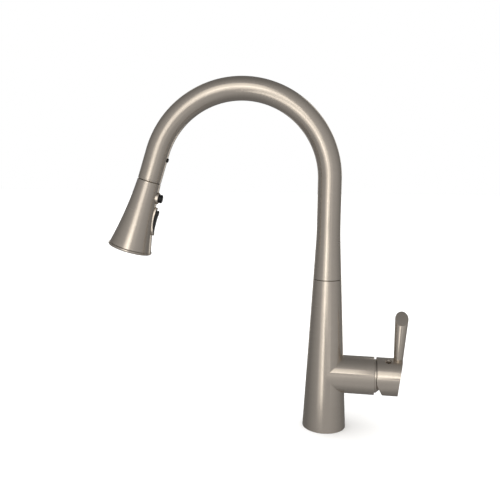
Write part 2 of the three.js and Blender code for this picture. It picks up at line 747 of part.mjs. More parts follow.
part(head, "head_shell", "nickel", headShell());
part(head, "head_inlet", "brass", turned(hang([[5.1, -7],
  ...thread(inletRadius, inletRadius - 0.8, -7, -0.6, 2),
  [inletRadius - 0.6, -0.3], [inletRadius + 0.6, 0.1], [inletRadius + 0.6, 3.2], [6.8, 3.2], [6.8, 9],
  [5.1, 9]]), 16));
part(head, "inlet_screen", "steel", ring(1.2, nutInner - 1.6, 7.6, 8.4, 16));
part(head, "check_valve", "white", turned(hang([[1.5, 0], [4.7, 0], [4.7, 1.6], [4.2, 2], [4.2, 8.6],
  [2.6, 8.8],
  [1.5, 6]]), 14));
part(head, "head_core", "white", headCore());

// ---- pause button ----
const pauseSurface = headRadius(pauseAt);
const buttonBack = pauseSurface - 2.6;

part(pausePlace, "pause_bezel", "nickel", turned([[pauseButtonRadius + gap, pauseSurface - 2.2],
  [pauseBezelRadius, pauseSurface - 2.2], [pauseBezelRadius, pauseSurface + 1.4],
  [pauseBezelRadius - 0.4, pauseSurface + 1.9], [pauseButtonRadius + gap, pauseSurface + 1.1]], 24));
part(pausePlace, "pause_button", "black", turned([[0, buttonBack], [pauseButtonRadius, buttonBack],
  [pauseButtonRadius, pauseSurface + 5], [pauseButtonRadius - 0.8, pauseSurface + 5.9],
  [0, pauseSurface + 6.2]], 20));
part(pausePlace, "pause_plunger", "white", disc(plungerRadius, 5.2, buttonBack - gap, 10));
part(pausePlace, "pause_spring", "steel",
  swept(new Helix(plungerRadius + 1.2, coreRadius + 1, buttonBack - gap - 0.5, 2.5), 0.35, 0, 4, 24));

// ---- spray rocker and diverter ----
const rockerSurface = headRadius(rockerAt) * Math.cos(rockerSlope);
const rockerInset = 1.7;
const bezelWall = 1.2;

const atPivot = (radius, length) =>
  rod(radius, length, 10).rotateX(Math.PI / 2).translate(pivotX, 0, pivotZ);

function rockerBezel() {
  const rim = rockerSurface + 3.2;
  const outer = pushed(boat(rockerLength, rockerWidth, 0), rockerSurface - 4.5, rim);
  const inner = pushed(boat(rockerLength, rockerWidth, bezelWall), rockerSurface - 6, rim + 1);
  const dish = rod(70, 40, 48).rotateX(Math.PI / 2).translate(0, 0, rockerSurface + 1 + 70);
  return cut(outer, inner, dish, atPivot(1.2, 4 * rockerWidth));
}

function sprayRocker() {
  const back = rockerSurface - 3.2;
  const half = rockerLength / 2 - rockerInset;
  const upperEnd = 2.2 - half; // cut back, because this end sinks into the frame as the rocker tilts
  const side = [[upperEnd, back], [upperEnd, rockerSurface + 4.3], [upperEnd + 0.8, rockerSurface + 5],
    [upperEnd + 3.4, rockerSurface + 4.9], [-4, rockerSurface + 3.4], [4, rockerSurface + 2.3],
    [half - 1, rockerSurface + 1.9], [half - 1, back]];
  const wedge = pushed(side, -rockerWidth, rockerWidth).rotateX(Math.PI / 2);
  const plan = pushed(boat(rockerLength, rockerWidth, rockerInset), back - 1, rockerSurface + 9);
  const fingerTip = spoolReach + spoolNeck + run;
  const finger = new THREE.BoxGeometry(2 * fingerHalf, 3, pivotZ - fingerTip + 1)
    .translate(pivotX, 0, (pivotZ + fingerTip + 1) / 2);
  return cut(join(common(wedge, plan), finger), atPivot(0.8 + gap, 4 * rockerWidth));
}

// The spool has two flanges that the rocker's finger sits between, and a groove for its seal.
const flangeInside = fingerHalf + 0.7;
const spoolOring = { inner: 1.6, outer: spoolRadius + 0.1, z: -(spoolEnd - 3.5) };

function diverterSpool() {
  const grooveHalf = 0.8;
  const neck = [[spoolFlange, fingerAt - flangeInside], [spoolNeck, fingerAt - flangeInside],
    [spoolNeck, fingerAt + flangeInside], [spoolFlange, fingerAt + flangeInside]];
  const groove = [[spoolRadius, -spoolOring.z - grooveHalf],
    [spoolOring.inner - gap, -spoolOring.z - grooveHalf],
    [spoolOring.inner - gap, -spoolOring.z + grooveHalf], [spoolRadius, -spoolOring.z + grooveHalf]];
  const top = fingerAt - flangeInside - flangeThick;
  const bottom = fingerAt + flangeInside + flangeThick;
  return turned(hang([[0, top], [spoolFlange, top], ...neck, [spoolFlange, bottom],
    [spoolRadius, bottom + 0.6],
    ...groove, [spoolRadius, spoolEnd], [0, spoolEnd]]), 12);
}

part(rockerPlace, "rocker_bezel", "nickel", rockerBezel());
part(rockerPlace, "spray_rocker", "black", sprayRocker());
part(rockerPlace, "rocker_pin", "steel", atPivot(0.8, rockerWidth - 1));
part(head, "diverter_spool", "white", diverterSpool()).position.x = spoolReach;
part(head, "spool_oring", "rubber", roundRing(spoolOring.inner, spoolOring.outer, spoolOring.z, 12))
  .position.x = spoolReach;

// ---- spray face ----
const facePlate = { front: matFront + 2, back: matFront + 5 };
const faceRadius = headRadius(facePlate.front) - headWall - 0.5;
const faceBoss = lipRadius - 4.6;
const faceEnd = headLength - 1.2;
const aeratorRadius = 8.6;
const nozzleRings = [
  { count: 6, radius: 12.6 },
  { count: 12, radius: 17.6 },
];

const nozzlePlaces = nozzleRings.flatMap(({ count, radius }) =>
  Array.from({ length: count }, (_, i) => {
    const turn = (i * 2 * Math.PI) / count;
    return [radius * Math.cos(turn), radius * Math.sin(turn)];
  }));

function sprayFace() {
  const blank = turned(hang([[aeratorRadius + gap, facePlate.front], [faceRadius, facePlate.front],
    [faceRadius, facePlate.back], [faceBoss, facePlate.back], [faceBoss, faceEnd - 0.6],
    [faceBoss - 0.6, faceEnd],
    [aeratorRadius + gap, faceEnd]]), 32);
  const holes = nozzlePlaces.map(([x, y]) => disc(1.4, -headLength, -matFront, 6).translate(x, y, 0));
  return cut(blank, ...holes);
}

function nozzleMat() {
  const mat = ring(aeratorRadius + 1.4, faceBoss - 1, -(facePlate.front - gap), -matFront, 24);
  const nozzles = nozzlePlaces.map(([x, y]) =>
    turned(hang([[0, matFront + 0.5], [1, matFront + 0.5], [0.75, headLength - 0.5],
      [0, headLength - 0.5]]), 6)
      .translate(x, y, 0));
  return join(mat, ...nozzles);
}

function aeratorScreen() {
  const blank = disc(6.6, -(faceEnd - 1.5), -(faceEnd - 2.5), 18);
  const holes = Array.from({ length: 6 }, (_, i) =>
    disc(1.3, -headLength, -matFront, 6).translate(3.9, 0, 0).rotateZ((i * Math.PI) / 3));
  return cut(blank, ...holes);
}

part(head, "nozzle_mat", "rubber", nozzleMat());
part(head, "spray_face", "grey", sprayFace());
part(head, "aerator", "grey", turned(hang([[7, matFront], [aeratorRadius, matFront],
  [aeratorRadius, faceEnd + 0.3],
  [aeratorRadius - 0.7, faceEnd + 0.6], [7, faceEnd + 0.6]]), 20));
part(head, "aerator_screen", "steel", aeratorScreen());
part(head, "lip_ring", "nickel", turned(hang([[lipRadius - 2.8, shellEnd + gap],
  [lipRadius - 0.5, shellEnd + gap],
  [lipRadius, shellEnd + 1], [lipRadius, headLength - 1.2], [lipRadius - 0.6, headLength - 0.2],
  [lipRadius - 1.8, headLength], [lipRadius - 2.8, headLength - 0.7]]), 36));

export default faucet;
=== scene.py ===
import json
import math

import bmesh
import bpy
import numpy as np
from mathutils import Matrix, Vector


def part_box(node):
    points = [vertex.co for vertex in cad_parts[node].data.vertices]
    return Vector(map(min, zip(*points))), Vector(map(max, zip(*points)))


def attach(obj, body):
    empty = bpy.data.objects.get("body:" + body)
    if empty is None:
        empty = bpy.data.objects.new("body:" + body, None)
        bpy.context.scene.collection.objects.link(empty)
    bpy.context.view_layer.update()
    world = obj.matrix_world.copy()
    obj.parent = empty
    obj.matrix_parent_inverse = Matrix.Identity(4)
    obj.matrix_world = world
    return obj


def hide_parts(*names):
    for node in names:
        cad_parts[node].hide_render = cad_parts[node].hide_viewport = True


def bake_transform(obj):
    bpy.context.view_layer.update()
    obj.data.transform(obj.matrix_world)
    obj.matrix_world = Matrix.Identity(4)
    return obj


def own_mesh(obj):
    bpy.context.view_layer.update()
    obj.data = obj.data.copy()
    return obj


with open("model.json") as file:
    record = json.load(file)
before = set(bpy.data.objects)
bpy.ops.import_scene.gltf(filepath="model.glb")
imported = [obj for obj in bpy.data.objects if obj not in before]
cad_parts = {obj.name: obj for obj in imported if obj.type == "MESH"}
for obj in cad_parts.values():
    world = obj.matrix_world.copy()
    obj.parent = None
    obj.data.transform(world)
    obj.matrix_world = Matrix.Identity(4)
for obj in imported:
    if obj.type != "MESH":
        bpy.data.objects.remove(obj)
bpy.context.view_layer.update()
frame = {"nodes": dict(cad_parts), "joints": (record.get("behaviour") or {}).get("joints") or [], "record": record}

# A pull-down kitchen faucet in brushed nickel: tapered body, side lever, high gooseneck and a spray head
# that docks on the end of the hose. Shapes are drawn in millimetres and set in place in metres.

mm = 0.001
gap = 0.3  # clearance between pieces that touch
joints = {joint["name"]: joint for joint in frame["joints"]}
print("stage: frame loaded,", len(frame["nodes"]), "nodes")


# Places, all taken from the joints

seam = Vector(joints["head_spin"]["pos_m"])  # middle of the joint between spout and spray head
outletUp = -Vector(joints["head_spin"]["axis"])
bodyHeight = joints["spout_swivel"]["pos_m"][2] / mm
handleHeight = joints["temperature_turn"]["pos_m"][2] / mm
pivotReach = joints["flow_lift"]["pos_m"][0] / mm
pullLength = joints["head_pull"]["range_m"][1] / mm
outletTilt = math.acos(outletUp.z)


def placeOf(origin, zAxis, xAxis=None):
    # millimetre drawing to metres, with the drawing's z along zAxis and its x as near xAxis as can be
    z = Vector(zAxis).normalized()
    x = Vector(xAxis)
    x = (x - z * x.dot(z)).normalized()
    turn = Matrix((x, z.cross(x), z)).transposed().to_4x4()
    return Matrix.Translation(origin) @ turn @ Matrix.Scale(mm, 4)


towardBody = Vector((-seam.x, -seam.y, 0)).normalized()
faucetPlace = placeOf((0, 0, 0), (0, 0, 1), (1, 0, 0))
handlePlace = placeOf((0, 0, handleHeight * mm), (0, 0, 1), (1, 0, 0))
spoutPlace = placeOf((0, 0, 0), (0, 0, 1), towardBody)
headPlace = placeOf(seam, outletUp, towardBody)
towardX = Matrix.Rotation(math.pi / 2, 4, "Y")  # lays a standing piece along +X


def sidePlace(distance, slope):
    # a place on the head's axis below the seam: z out through the side that faces the body, x down
    turn = Matrix.Rotation(math.pi / 2 - slope, 4, "Y")
    return headPlace @ Matrix.Translation((0, 0, -distance)) @ turn


# Meshes drawn from profiles and outlines

def softened(points, steps=4):
    # every point is (x, y) or (x, y, radius): a radius turns that corner of the closed outline into a curve
    outline = []
    for i, point in enumerate(points):
        corner = Vector(point[:2])
        radius = point[2] if len(point) > 2 else 0
        if not radius:
            outline.append(tuple(corner))
            continue
        before = Vector(points[i - 1][:2]) - corner
        after = Vector(points[(i + 1) % len(points)][:2]) - corner
        start = corner + before.normalized() * min(radius, before.length / 2)
        end = corner + after.normalized() * min(radius, after.length / 2)
        for k in range(steps + 1):
            t = k / steps
            outline.append(tuple(start * (1 - t) ** 2 + corner * 2 * t * (1 - t) + end * t * t))
    return outline


def newObject(name, data):
    made = bpy.data.objects.new(name, data)
    bpy.context.scene.collection.objects.link(made)
    return made


def newPiece(name, corners, faces, turning):
    mesh = bpy.data.meshes.new(name)
    mesh.from_pydata(corners, [], faces)
    layer = mesh.uv_layers.new(name="turning")
    layer.data.foreach_set("uv", [value for pair in turning for value in pair])
    piece = newObject(name, mesh)
    shape = bmesh.new()
    shape.from_mesh(mesh)
    bmesh.ops.recalc_face_normals(shape, faces=shape.faces)
    shape.to_mesh(mesh)
    shape.free()
    return piece


def turned(name, profile, sides=96):
    # a closed profile of (radius, height) points turned about z; "turning" holds the turn and the length along
    profile = [(max(r, 0), z) for r, z in profile]
    rings = []
    corners = []
    for r, z in profile:
        count = sides if r > 1e-6 else 1
        rings.append((len(corners), count))
        for k in range(count):
            angle = 2 * math.pi * k / sides
            corners.append((r * math.cos(angle), r * math.sin(angle), z))
    faces = []
    turning = []
    length = 0
    for i, (here, hereCount) in enumerate(rings):
        there, thereCount = rings[(i + 1) % len(rings)]
        stride = math.dist(profile[i], profile[(i + 1) % len(rings)])
        if hereCount == thereCount == 1:
            continue
        for k in range(sides):
            loop = [(here, hereCount, k, 0), (here, hereCount, k + 1, 0),
                    (there, thereCount, k + 1, 1), (there, thereCount, k, 1)]
            face = []
            for first, count, index, step in loop:
                corner = first + index % count if count > 1 else first
                if corner in face:
                    continue
                face.append(corner)
                turning.append((index / sides, (length + stride * step) * mm))
            faces.append(face)
        length += stride
    return newPiece(name, corners, faces, turning)


def pushed(name, outline, low, high):
    # a closed outline of (x, y) points pushed along z
    count = len(outline)
    corners = [(x, y, low) for x, y in outline] + [(x, y, high) for x, y in outline]
    faces = []
    turning = []
    for k in range(count):
        after = (k + 1) % count
        faces.append([k, after, count + after, count + k])
        turning += [(k / count, low * mm), ((k + 1) / count, low * mm),
                    ((k + 1) / count, high * mm), (k / count, high * mm)]
    faces.append(list(range(count))[::-1])
    turning += [(0, y * mm) for x, y in outline][::-1]
    faces.append(list(range(count, 2 * count)))
    turning += [(0, y * mm) for x, y in outline]
    return newPiece(name, corners, faces, turning)


def moved(piece, *moves):
    for move in moves:
        piece.data.transform(move)
    return piece


def shift(x=0, y=0, z=0):
    return Matrix.Translation((x, y, z))


def settle(piece):
    # the modifiers' result becomes the piece's own plain mesh
    view = bpy.context.evaluated_depsgraph_get()
    mesh = bpy.data.meshes.new_from_object(piece.evaluated_get(view))
    piece.modifiers.clear()
    piece.data = mesh
    return piece


def shaped(piece, how, *tools):
    for tool in tools:
        modifier = piece.modifiers.new(how, "BOOLEAN")
        modifier.operation = how
        modifier.object = tool
        modifier.solver = "EXACT"
        settle(piece)
        bpy.data.objects.remove(tool)
    return piece


def cut(piece, *tools):
    return shaped(piece, "DIFFERENCE", *tools)


def eased(piece, width, segments=3, angle=35):
    # small round edges
    modifier = piece.modifiers.new("edges", "BEVEL")
    modifier.width = width
    modifier.segments = segments
    modifier.limit_method = "ANGLE"
    modifier.angle_limit = math.radians(angle)
    modifier.harden_normals = False
    return settle(piece)


def joinPieces(piece, *others):
    shape = bmesh.new()
    shape.from_mesh(piece.data)
    for other in others:
        shape.from_mesh(other.data)
        bpy.data.objects.remove(other)
    shape.to_mesh(piece.data)
    shape.free()
    return piece


def fitted(piece, place, finish, carrier, *nodes, sharp=28):
    # the piece goes to its place in metres, takes its finish and rides on its body
    piece.data.transform(place)
    piece.data.materials.clear()
    piece.data.materials.append(finishes[finish])
    piece.data.polygons.foreach_set("material_index", [0] * len(piece.data.polygons))
    piece.data.shade_smooth()
    piece.data.set_sharp_from_angle(angle=math.radians(sharp))
    if carrier:
        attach(piece, carrier)
    if nodes:
        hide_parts(*nodes)
    return piece


# Nodes, for materials and for geometry

def node(tree, kind, inputs=None, **settings):
    made = tree.nodes.new(kind)
    for name, value in settings.items():
        setattr(made, name, value)
    for name, value in (inputs or {}).items():
        if isinstance(value, bpy.types.NodeSocket):
            tree.links.new(value, made.inputs[name])
        else:
            made.inputs[name].default_value = value
    return made


def calc(tree, operation, *values):
    return node(tree, "ShaderNodeMath", dict(enumerate(values)), operation=operation).outputs[0]


def spread(tree, value, low, high, toLow, toHigh):
    inputs = {0: value, 1: low, 2: high, 3: toLow, 4: toHigh}
    return node(tree, "ShaderNodeMapRange", inputs).outputs[0]


def blended(tree, share, first, second):
    made = node(tree, "ShaderNodeMix", data_type="RGBA")
    tree.links.new(share, made.inputs[0])
    made.inputs[6].default_value = (*first, 1)
    made.inputs[7].default_value = (*second, 1)
    return made.outputs[2]


def newFinish(name, roughness, metallic=0.0, ior=1.5):
    material = bpy.data.materials.new(name)
    material.use_nodes = True
    tree = material.node_tree
    shader = tree.nodes["Principled BSDF"]
    shader.inputs["Roughness"].default_value = roughness
    shader.inputs["Metallic"].default_value = metallic
    shader.inputs["IOR"].default_value = ior
    return material, tree, shader


def objectNoise(tree, scale, detail=4, stretch=(1, 1, 1)):
    place = node(tree, "ShaderNodeTexCoord").outputs["Object"]
    scaled = node(tree, "ShaderNodeMapping", {"Vector": place, "Scale": stretch})
    return node(tree, "ShaderNodeTexNoise", {"Vector": scaled.outputs[0], "Scale": scale,
                                             "Detail": detail}).outputs["Fac"]


def bumped(tree, shader, height, strength, distance):
    inputs = {"Height": height, "Strength": strength, "Distance": distance}
    tree.links.new(node(tree, "ShaderNodeBump", inputs).outputs[0], shader.inputs["Normal"])


def brushedNickel():
    look = {"pale": (0.680, 0.619, 0.551), "deep": (0.652, 0.591, 0.523), "roughness": 0.22, "swing": 0.02,
            "hairlines": 2100, "bands": 420, "wander": 1.1, "relief": 0.02, "pull": 0.35}
    material, tree, shader = newFinish("brushed_nickel", look["roughness"], 1.0)
    turning = node(tree, "ShaderNodeUVMap", uv_map="turning").outputs[0]
    parts = node(tree, "ShaderNodeSeparateXYZ", {0: turning})
    angle = calc(tree, "MULTIPLY", parts.outputs[0], 2 * math.pi)
    east = calc(tree, "MULTIPLY", calc(tree, "COSINE", angle), look["wander"])
    north = calc(tree, "MULTIPLY", calc(tree, "SINE", angle), look["wander"])

    def streaks(density, detail):  # lines that run round the piece
        along = calc(tree, "MULTIPLY", parts.outputs[1], density)
        place = node(tree, "ShaderNodeCombineXYZ", {0: east, 1: north, 2: along})
        return node(tree, "ShaderNodeTexNoise", {"Vector": place.outputs[0], "Scale": 1.0,
                                                 "Detail": detail}).outputs["Fac"]

    hairlines = streaks(look["hairlines"], 3)
    bands = streaks(look["bands"], 4)
    handling = objectNoise(tree, 38, 5)  # faint cloudiness from wiping and fingers
    tone = calc(tree, "ADD", calc(tree, "MULTIPLY", bands, 0.6), calc(tree, "MULTIPLY", hairlines, 0.4))
    tree.links.new(blended(tree, spread(tree, tone, 0.35, 0.65, 0, 1), look["deep"], look["pale"]),
                   shader.inputs["Base Color"])
    satin = spread(tree, hairlines, 0.3, 0.7, look["roughness"] - look["swing"],
                   look["roughness"] + look["swing"])
    cloud = spread(tree, handling, 0.3, 0.75, -0.02, 0.05)
    tree.links.new(calc(tree, "ADD", satin, cloud), shader.inputs["Roughness"])
    shader.inputs["Anisotropic"].default_value = look["pull"]
    direction = node(tree, "ShaderNodeTangent", direction_type="UV_MAP", uv_map="turning")
    tree.links.new(direction.outputs[0], shader.inputs["Tangent"])
    bumped(tree, shader, hairlines, look["relief"], 0.00004)
    return material


def plainFinish(name, look):
    # cloudy tone, and a grain that roughens and lifts the surface; without "grain" the cloud does both
    material, tree, shader = newFinish(name, look["roughness"], look.get("metallic", 0.0), look.get("ior", 1.5))
    cloud = objectNoise(tree, *look["cloud"])
    grain = objectNoise(tree, *look["grain"]) if "grain" in look else cloud
    share = spread(tree, cloud, *look["share"], 0, 1)
    tree.links.new(blended(tree, share, look["base"], look["other"]), shader.inputs["Base Color"])
    rough = grain if look.get("grainRoughens") else cloud
    tree.links.new(spread(tree, rough, 0.3, 0.7, *look["rough"]), shader.inputs["Roughness"])
    if "depth" in look:
        bumped(tree, shader, grain, look["relief"], look["depth"])
    shader.inputs["Subsurface Weight"].default_value = look.get("subsurface", 0.0)
    shader.inputs["Subsurface Scale"].default_value = 0.001
    return material


# cloud and grain: noise scale, detail and, where it runs one way, stretch
blackPlastic = {"base": (0.004, 0.004, 0.0045), "other": (0.011, 0.011, 0.012), "share": (0.4, 0.7),
                "ior": 1.36, "roughness": 0.38, "rough": (0.32, 0.46), "cloud": (160, 4), "grain": (4200, 3),
                "relief": 0.25, "depth": 0.00003}
greyPlastic = {"base": (0.27, 0.28, 0.29), "other": (0.34, 0.35, 0.36), "share": (0.35, 0.65),
               "roughness": 0.42, "rough": (0.36, 0.5), "cloud": (220, 4), "grain": (5200, 2),
               "grainRoughens": True, "relief": 0.2, "depth": 0.00002}
whitePlastic = {"base": (0.78, 0.76, 0.72), "other": (0.86, 0.85, 0.82), "share": (0.35, 0.65),
                "roughness": 0.4, "rough": (0.34, 0.5), "cloud": (260, 5, (1, 1, 0.3)), "subsurface": 0.08,
                "relief": 0.1, "depth": 0.00003}
turnedMetal = {"metallic": 1.0, "share": (0.35, 0.7), "cloud": (240, 5), "grainRoughens": True, "relief": 0.25,
               "depth": 0.00003}
brass = {**turnedMetal, "base": (0.78, 0.60, 0.32), "other": (0.62, 0.44, 0.20), "roughness": 0.34,
         "rough": (0.26, 0.44), "grain": (2600, 2, (0.02, 0.02, 1))}
steel = {**turnedMetal, "base": (0.66, 0.66, 0.67), "other": (0.50, 0.50, 0.51), "roughness": 0.32,
         "rough": (0.24, 0.42), "grain": (3400, 2, (0.02, 0.02, 1))}
lappedCeramic = {"base": (0.90, 0.88, 0.85), "other": (0.82, 0.80, 0.77), "share": (0.4, 0.7),
                 "roughness": 0.2, "rough": (0.14, 0.26), "cloud": (900, 5)}
mouldedRubber = {"share": (0.42, 0.75), "cloud": (180, 5), "grain": (3600, 4), "relief": 0.3, "depth": 0.00004}
blackRubber = {**mouldedRubber, "base": (0.018, 0.018, 0.019), "other": (0.045, 0.044, 0.042),
               "roughness": 0.62, "rough": (0.56, 0.72)}
greyRubber = {**mouldedRubber, "base": (0.17, 0.175, 0.18), "other": (0.26, 0.265, 0.27), "roughness": 0.55,
              "rough": (0.49, 0.65)}


def hoseBraid():
    # yarn: each flat strand is made of fine threads, and some threads are paler
    look = {"base": (0.055, 0.058, 0.062), "pale": (0.30, 0.31, 0.32), "roughness": 0.5}
    material, tree, shader = newFinish("hose_braid", look["roughness"])
    yarn = objectNoise(tree, 1500, 3)
    tree.links.new(blended(tree, spread(tree, yarn, 0.35, 0.62, 0, 1), look["base"], look["pale"]),
                   shader.inputs["Base Color"])
    tree.links.new(spread(tree, yarn, 0.3, 0.7, 0.42, 0.62), shader.inputs["Roughness"])
    shader.inputs["Sheen Weight"].default_value = 0.25
    shader.inputs["Sheen Roughness"].default_value = 0.4
    bumped(tree, shader, yarn, 0.4, 0.00008)
    return material


finishes = {
    "brushed_nickel": brushedNickel(),
    "black_plastic": plainFinish("black_plastic", blackPlastic),
    "grey_plastic": plainFinish("grey_plastic", greyPlastic),
    "white_plastic": plainFinish("white_plastic", whitePlastic),
    "brass": plainFinish("brass", brass),
    "steel": plainFinish("steel", steel),
    "ceramic": plainFinish("ceramic", lappedCeramic),
    "rubber": plainFinish("rubber", blackRubber),
    "grey_rubber": plainFinish("grey_rubber", greyRubber),
    "hose_braid": hoseBraid(),
}
for row in frame["record"]["subparts"]:
    kept = frame["nodes"][row["node"]]
    kept.data.materials.clear()
    kept.data.materials.append(finishes[row["material_slot"]])
print("stage: finishes made")


# Geometry node trees

socketKinds = {float: "NodeSocketFloat", int: "NodeSocketInt"}


def newTree(name, sizes):
    # a tree with one named input for each size; returns the tree, its inputs and a function that closes it
    tree = bpy.data.node_groups.new(name, "GeometryNodeTree")
    tree.interface.new_socket("Geometry", in_out="INPUT", socket_type="NodeSocketGeometry")
    tree.interface.new_socket("Geometry", in_out="OUTPUT", socket_type="NodeSocketGeometry")
    for label, value in sizes.items():
        if isinstance(value, bpy.types.Object):
            kind = "NodeSocketObject"
        elif isinstance(value, bpy.types.Material):
            kind = "NodeSocketMaterial"
        else:
            kind = socketKinds[type(value)]
        tree.interface.new_socket(label, in_out="INPUT", socket_type=kind)
    given = tree.nodes.new("NodeGroupInput").outputs

    def close(geometry):
        realized = node(tree, "GeometryNodeRealizeInstances", {"Geometry": geometry})
        painted = node(tree, "GeometryNodeSetMaterial", {"Geometry": realized.outputs[0],
                                                         "Material": given["Material"]})
        tree.links.new(painted.outputs[0], tree.nodes.new("NodeGroupOutput").inputs[0])

    return tree, given, close


def grown(piece, tree, sizes):
    # runs a tree on a piece with these sizes and keeps the result as a plain mesh
    modifier = piece.modifiers.new(tree.name, "NODES")
    modifier.node_group = tree
    for item in tree.interface.items_tree:
        if item.in_out == "INPUT" and item.name in sizes:
            modifier[item.identifier] = sizes[item.name]
    return settle(piece)


def emptyPiece(name):
    return newObject(name, bpy.data.meshes.new(name))


def bendOnArch(blank, sizes):
    # a straight tube, drawn with its length as z, is bent over the arch and down the outlet
    tree, given, close = newTree("bend over the arch", sizes)
    place = node(tree, "GeometryNodeInputPosition")
    parts = node(tree, "ShaderNodeSeparateXYZ", {0: place.outputs[0]})
    x, y, length = parts.outputs[0], parts.outputs[1], parts.outputs[2]
    past = calc(tree, "SUBTRACT", length, given["Riser Top"])
    turn = calc(tree, "MAXIMUM", calc(tree, "DIVIDE", past, given["Arch Radius"]), 0.0)
    turn = calc(tree, "MINIMUM", turn, given["Sweep"])
    swept = calc(tree, "MULTIPLY", given["Sweep"], given["Arch Radius"])
    beyond = calc(tree, "MAXIMUM", calc(tree, "SUBTRACT", past, swept), 0.0)
    sine = calc(tree, "SINE", turn)
    cosine = calc(tree, "COSINE", turn)
    # straight on from the end of the arch the tube leads along (-sine, cosine)
    lean = calc(tree, "SUBTRACT", given["Arch Radius"], x)
    acrossArch = calc(tree, "SUBTRACT", calc(tree, "MULTIPLY", cosine, lean), given["Arch Radius"])
    across = calc(tree, "SUBTRACT", acrossArch, calc(tree, "MULTIPLY", sine, beyond))
    riser = calc(tree, "MINIMUM", length, given["Riser Top"])
    upArch = calc(tree, "MULTIPLY", sine, lean)
    # x moves a point along (cosine, sine), away from the arch's centre
    up = calc(tree, "ADD", calc(tree, "ADD", riser, upArch), calc(tree, "MULTIPLY", cosine, beyond))
    bent = node(tree, "ShaderNodeCombineXYZ", {0: across, 1: y, 2: up})
    moving = node(tree, "GeometryNodeSetPosition", {"Geometry": given["Geometry"], "Position": bent.outputs[0]})
    close(moving.outputs[0])
    return grown(blank, tree, sizes)


def ringOfCopies(name, copied, count, radius, finish):
    sizes = {"Copied": copied, "Count": count, "Ring Radius": float(radius), "Material": finishes[finish]}
    tree, given, close = newTree(name, sizes)
    circle = node(tree, "GeometryNodeMeshCircle", {"Vertices": given["Count"], "Radius": given["Ring Radius"]})
    share = calc(tree, "DIVIDE", node(tree, "GeometryNodeInputIndex").outputs[0], given["Count"])
    angle = calc(tree, "MULTIPLY", share, 2 * math.pi)
    facing = node(tree, "ShaderNodeCombineXYZ", {2: angle})
    shape = node(tree, "GeometryNodeObjectInfo", {"Object": given["Copied"]})
    placed = node(tree, "GeometryNodeInstanceOnPoints", {"Points": circle.outputs[0],
                                                         "Instance": shape.outputs["Geometry"],
                                                         "Rotation": facing.outputs[0]})
    close(placed.outputs[0])
    return grown(emptyPiece(name), tree, sizes)


body = {"baseRadius": 26.3, "neckRadius": 16.85, "wall": 2.8, "stubRadius": 22.8, "stubReach": 59.1,
        "stubBore": 19.6, "stubBoreStart": 14, "stubBoreEnd": 61, "edge": 0.6, "sides": 180,
        "mountBore": 22.2, "mountDepth": 14, "hubSeat": 152, "hubBore": 13, "hubBoreStart": 157,
        "swivelSeat": 180, "swivelBore": 14.2,
        "grooveInside": 23.8, "grooveOutside": 25.3, "grooveDepth": 1.8}


def coneRadius(z):
    return body["baseRadius"] - (body["baseRadius"] - body["neckRadius"]) * z / bodyHeight


def makeBody():
    edge = body["edge"]
    through = 1  # a cutting tool runs on this far past the surface
    outside = turned("taperedBody", softened([
        (0, 0), (body["baseRadius"], 0, edge), (body["neckRadius"], bodyHeight, edge), (0, bodyHeight)]),
        body["sides"])
    reach = body["stubReach"]
    stub = turned("stub", softened([
        (0, 0), (body["stubRadius"], 0), (body["stubRadius"], reach, edge), (0, reach)]), 144)
    moved(stub, towardX, shift(z=handleHeight))
    inside = turned("bore", [
        (0, -through), (body["mountBore"], -through), (body["mountBore"], body["mountDepth"]),
        (coneRadius(body["mountDepth"]) - body["wall"] - 1, body["mountDepth"]),
        (coneRadius(body["hubSeat"]) - body["wall"], body["hubSeat"]), (body["hubBore"], body["hubBoreStart"]),
        (body["hubBore"], body["swivelSeat"]), (body["swivelBore"], body["swivelSeat"]),
        (body["swivelBore"], bodyHeight + through), (0, bodyHeight + through)], 72)
    stubHole = turned("stubHole", [
        (0, body["stubBoreStart"]), (body["stubBore"], body["stubBoreStart"]),
        (body["stubBore"], body["stubBoreEnd"]), (0, body["stubBoreEnd"])], 72)
    moved(stubHole, towardX, shift(z=handleHeight))
    groove = turned("gasketGroove", [
        (body["grooveInside"], -through), (body["grooveOutside"], -through),
        (body["grooveOutside"], body["grooveDepth"]), (body["grooveInside"], body["grooveDepth"])], 120)
    shaped(outside, "UNION", stub)
    cut(outside, inside, stubHole, groove)
    return fitted(outside, faucetPlace, "brushed_nickel", "base", "body_shell", sharp=24)


def makeDomeCollar():
    # the ball-shaped neck between stub and cap
    dome = {"radius": 24.4, "land": 20.0, "bore": 12.9, "length": 6.7, "spigotStep": 0.9, "steps": 14}
    back = body["stubReach"] + gap
    front = pivotReach + math.sqrt(dome["radius"] ** 2 - dome["land"] ** 2)
    end = back + dome["length"]
    ball = []
    for i in range(dome["steps"] + 1):
        x = front + (end - front) * i / dome["steps"]
        ball.append((math.sqrt(dome["radius"] ** 2 - (x - pivotReach) ** 2), x))
    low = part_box("dome_ring")[0].x / mm
    spigot = dome["land"] - dome["spigotStep"]
    profile = softened([(dome["bore"], low), (spigot, low, 0.4), (spigot, back - 0.6), (dome["land"], back)])
    piece = turned("domeCollar", profile + ball + [(dome["bore"], end)], 120)
    moved(piece, towardX)
    return fitted(piece, handlePlace, "brushed_nickel", "base", "dome_ring")


makeBody()
makeDomeCollar()
print("stage: body and neck made")


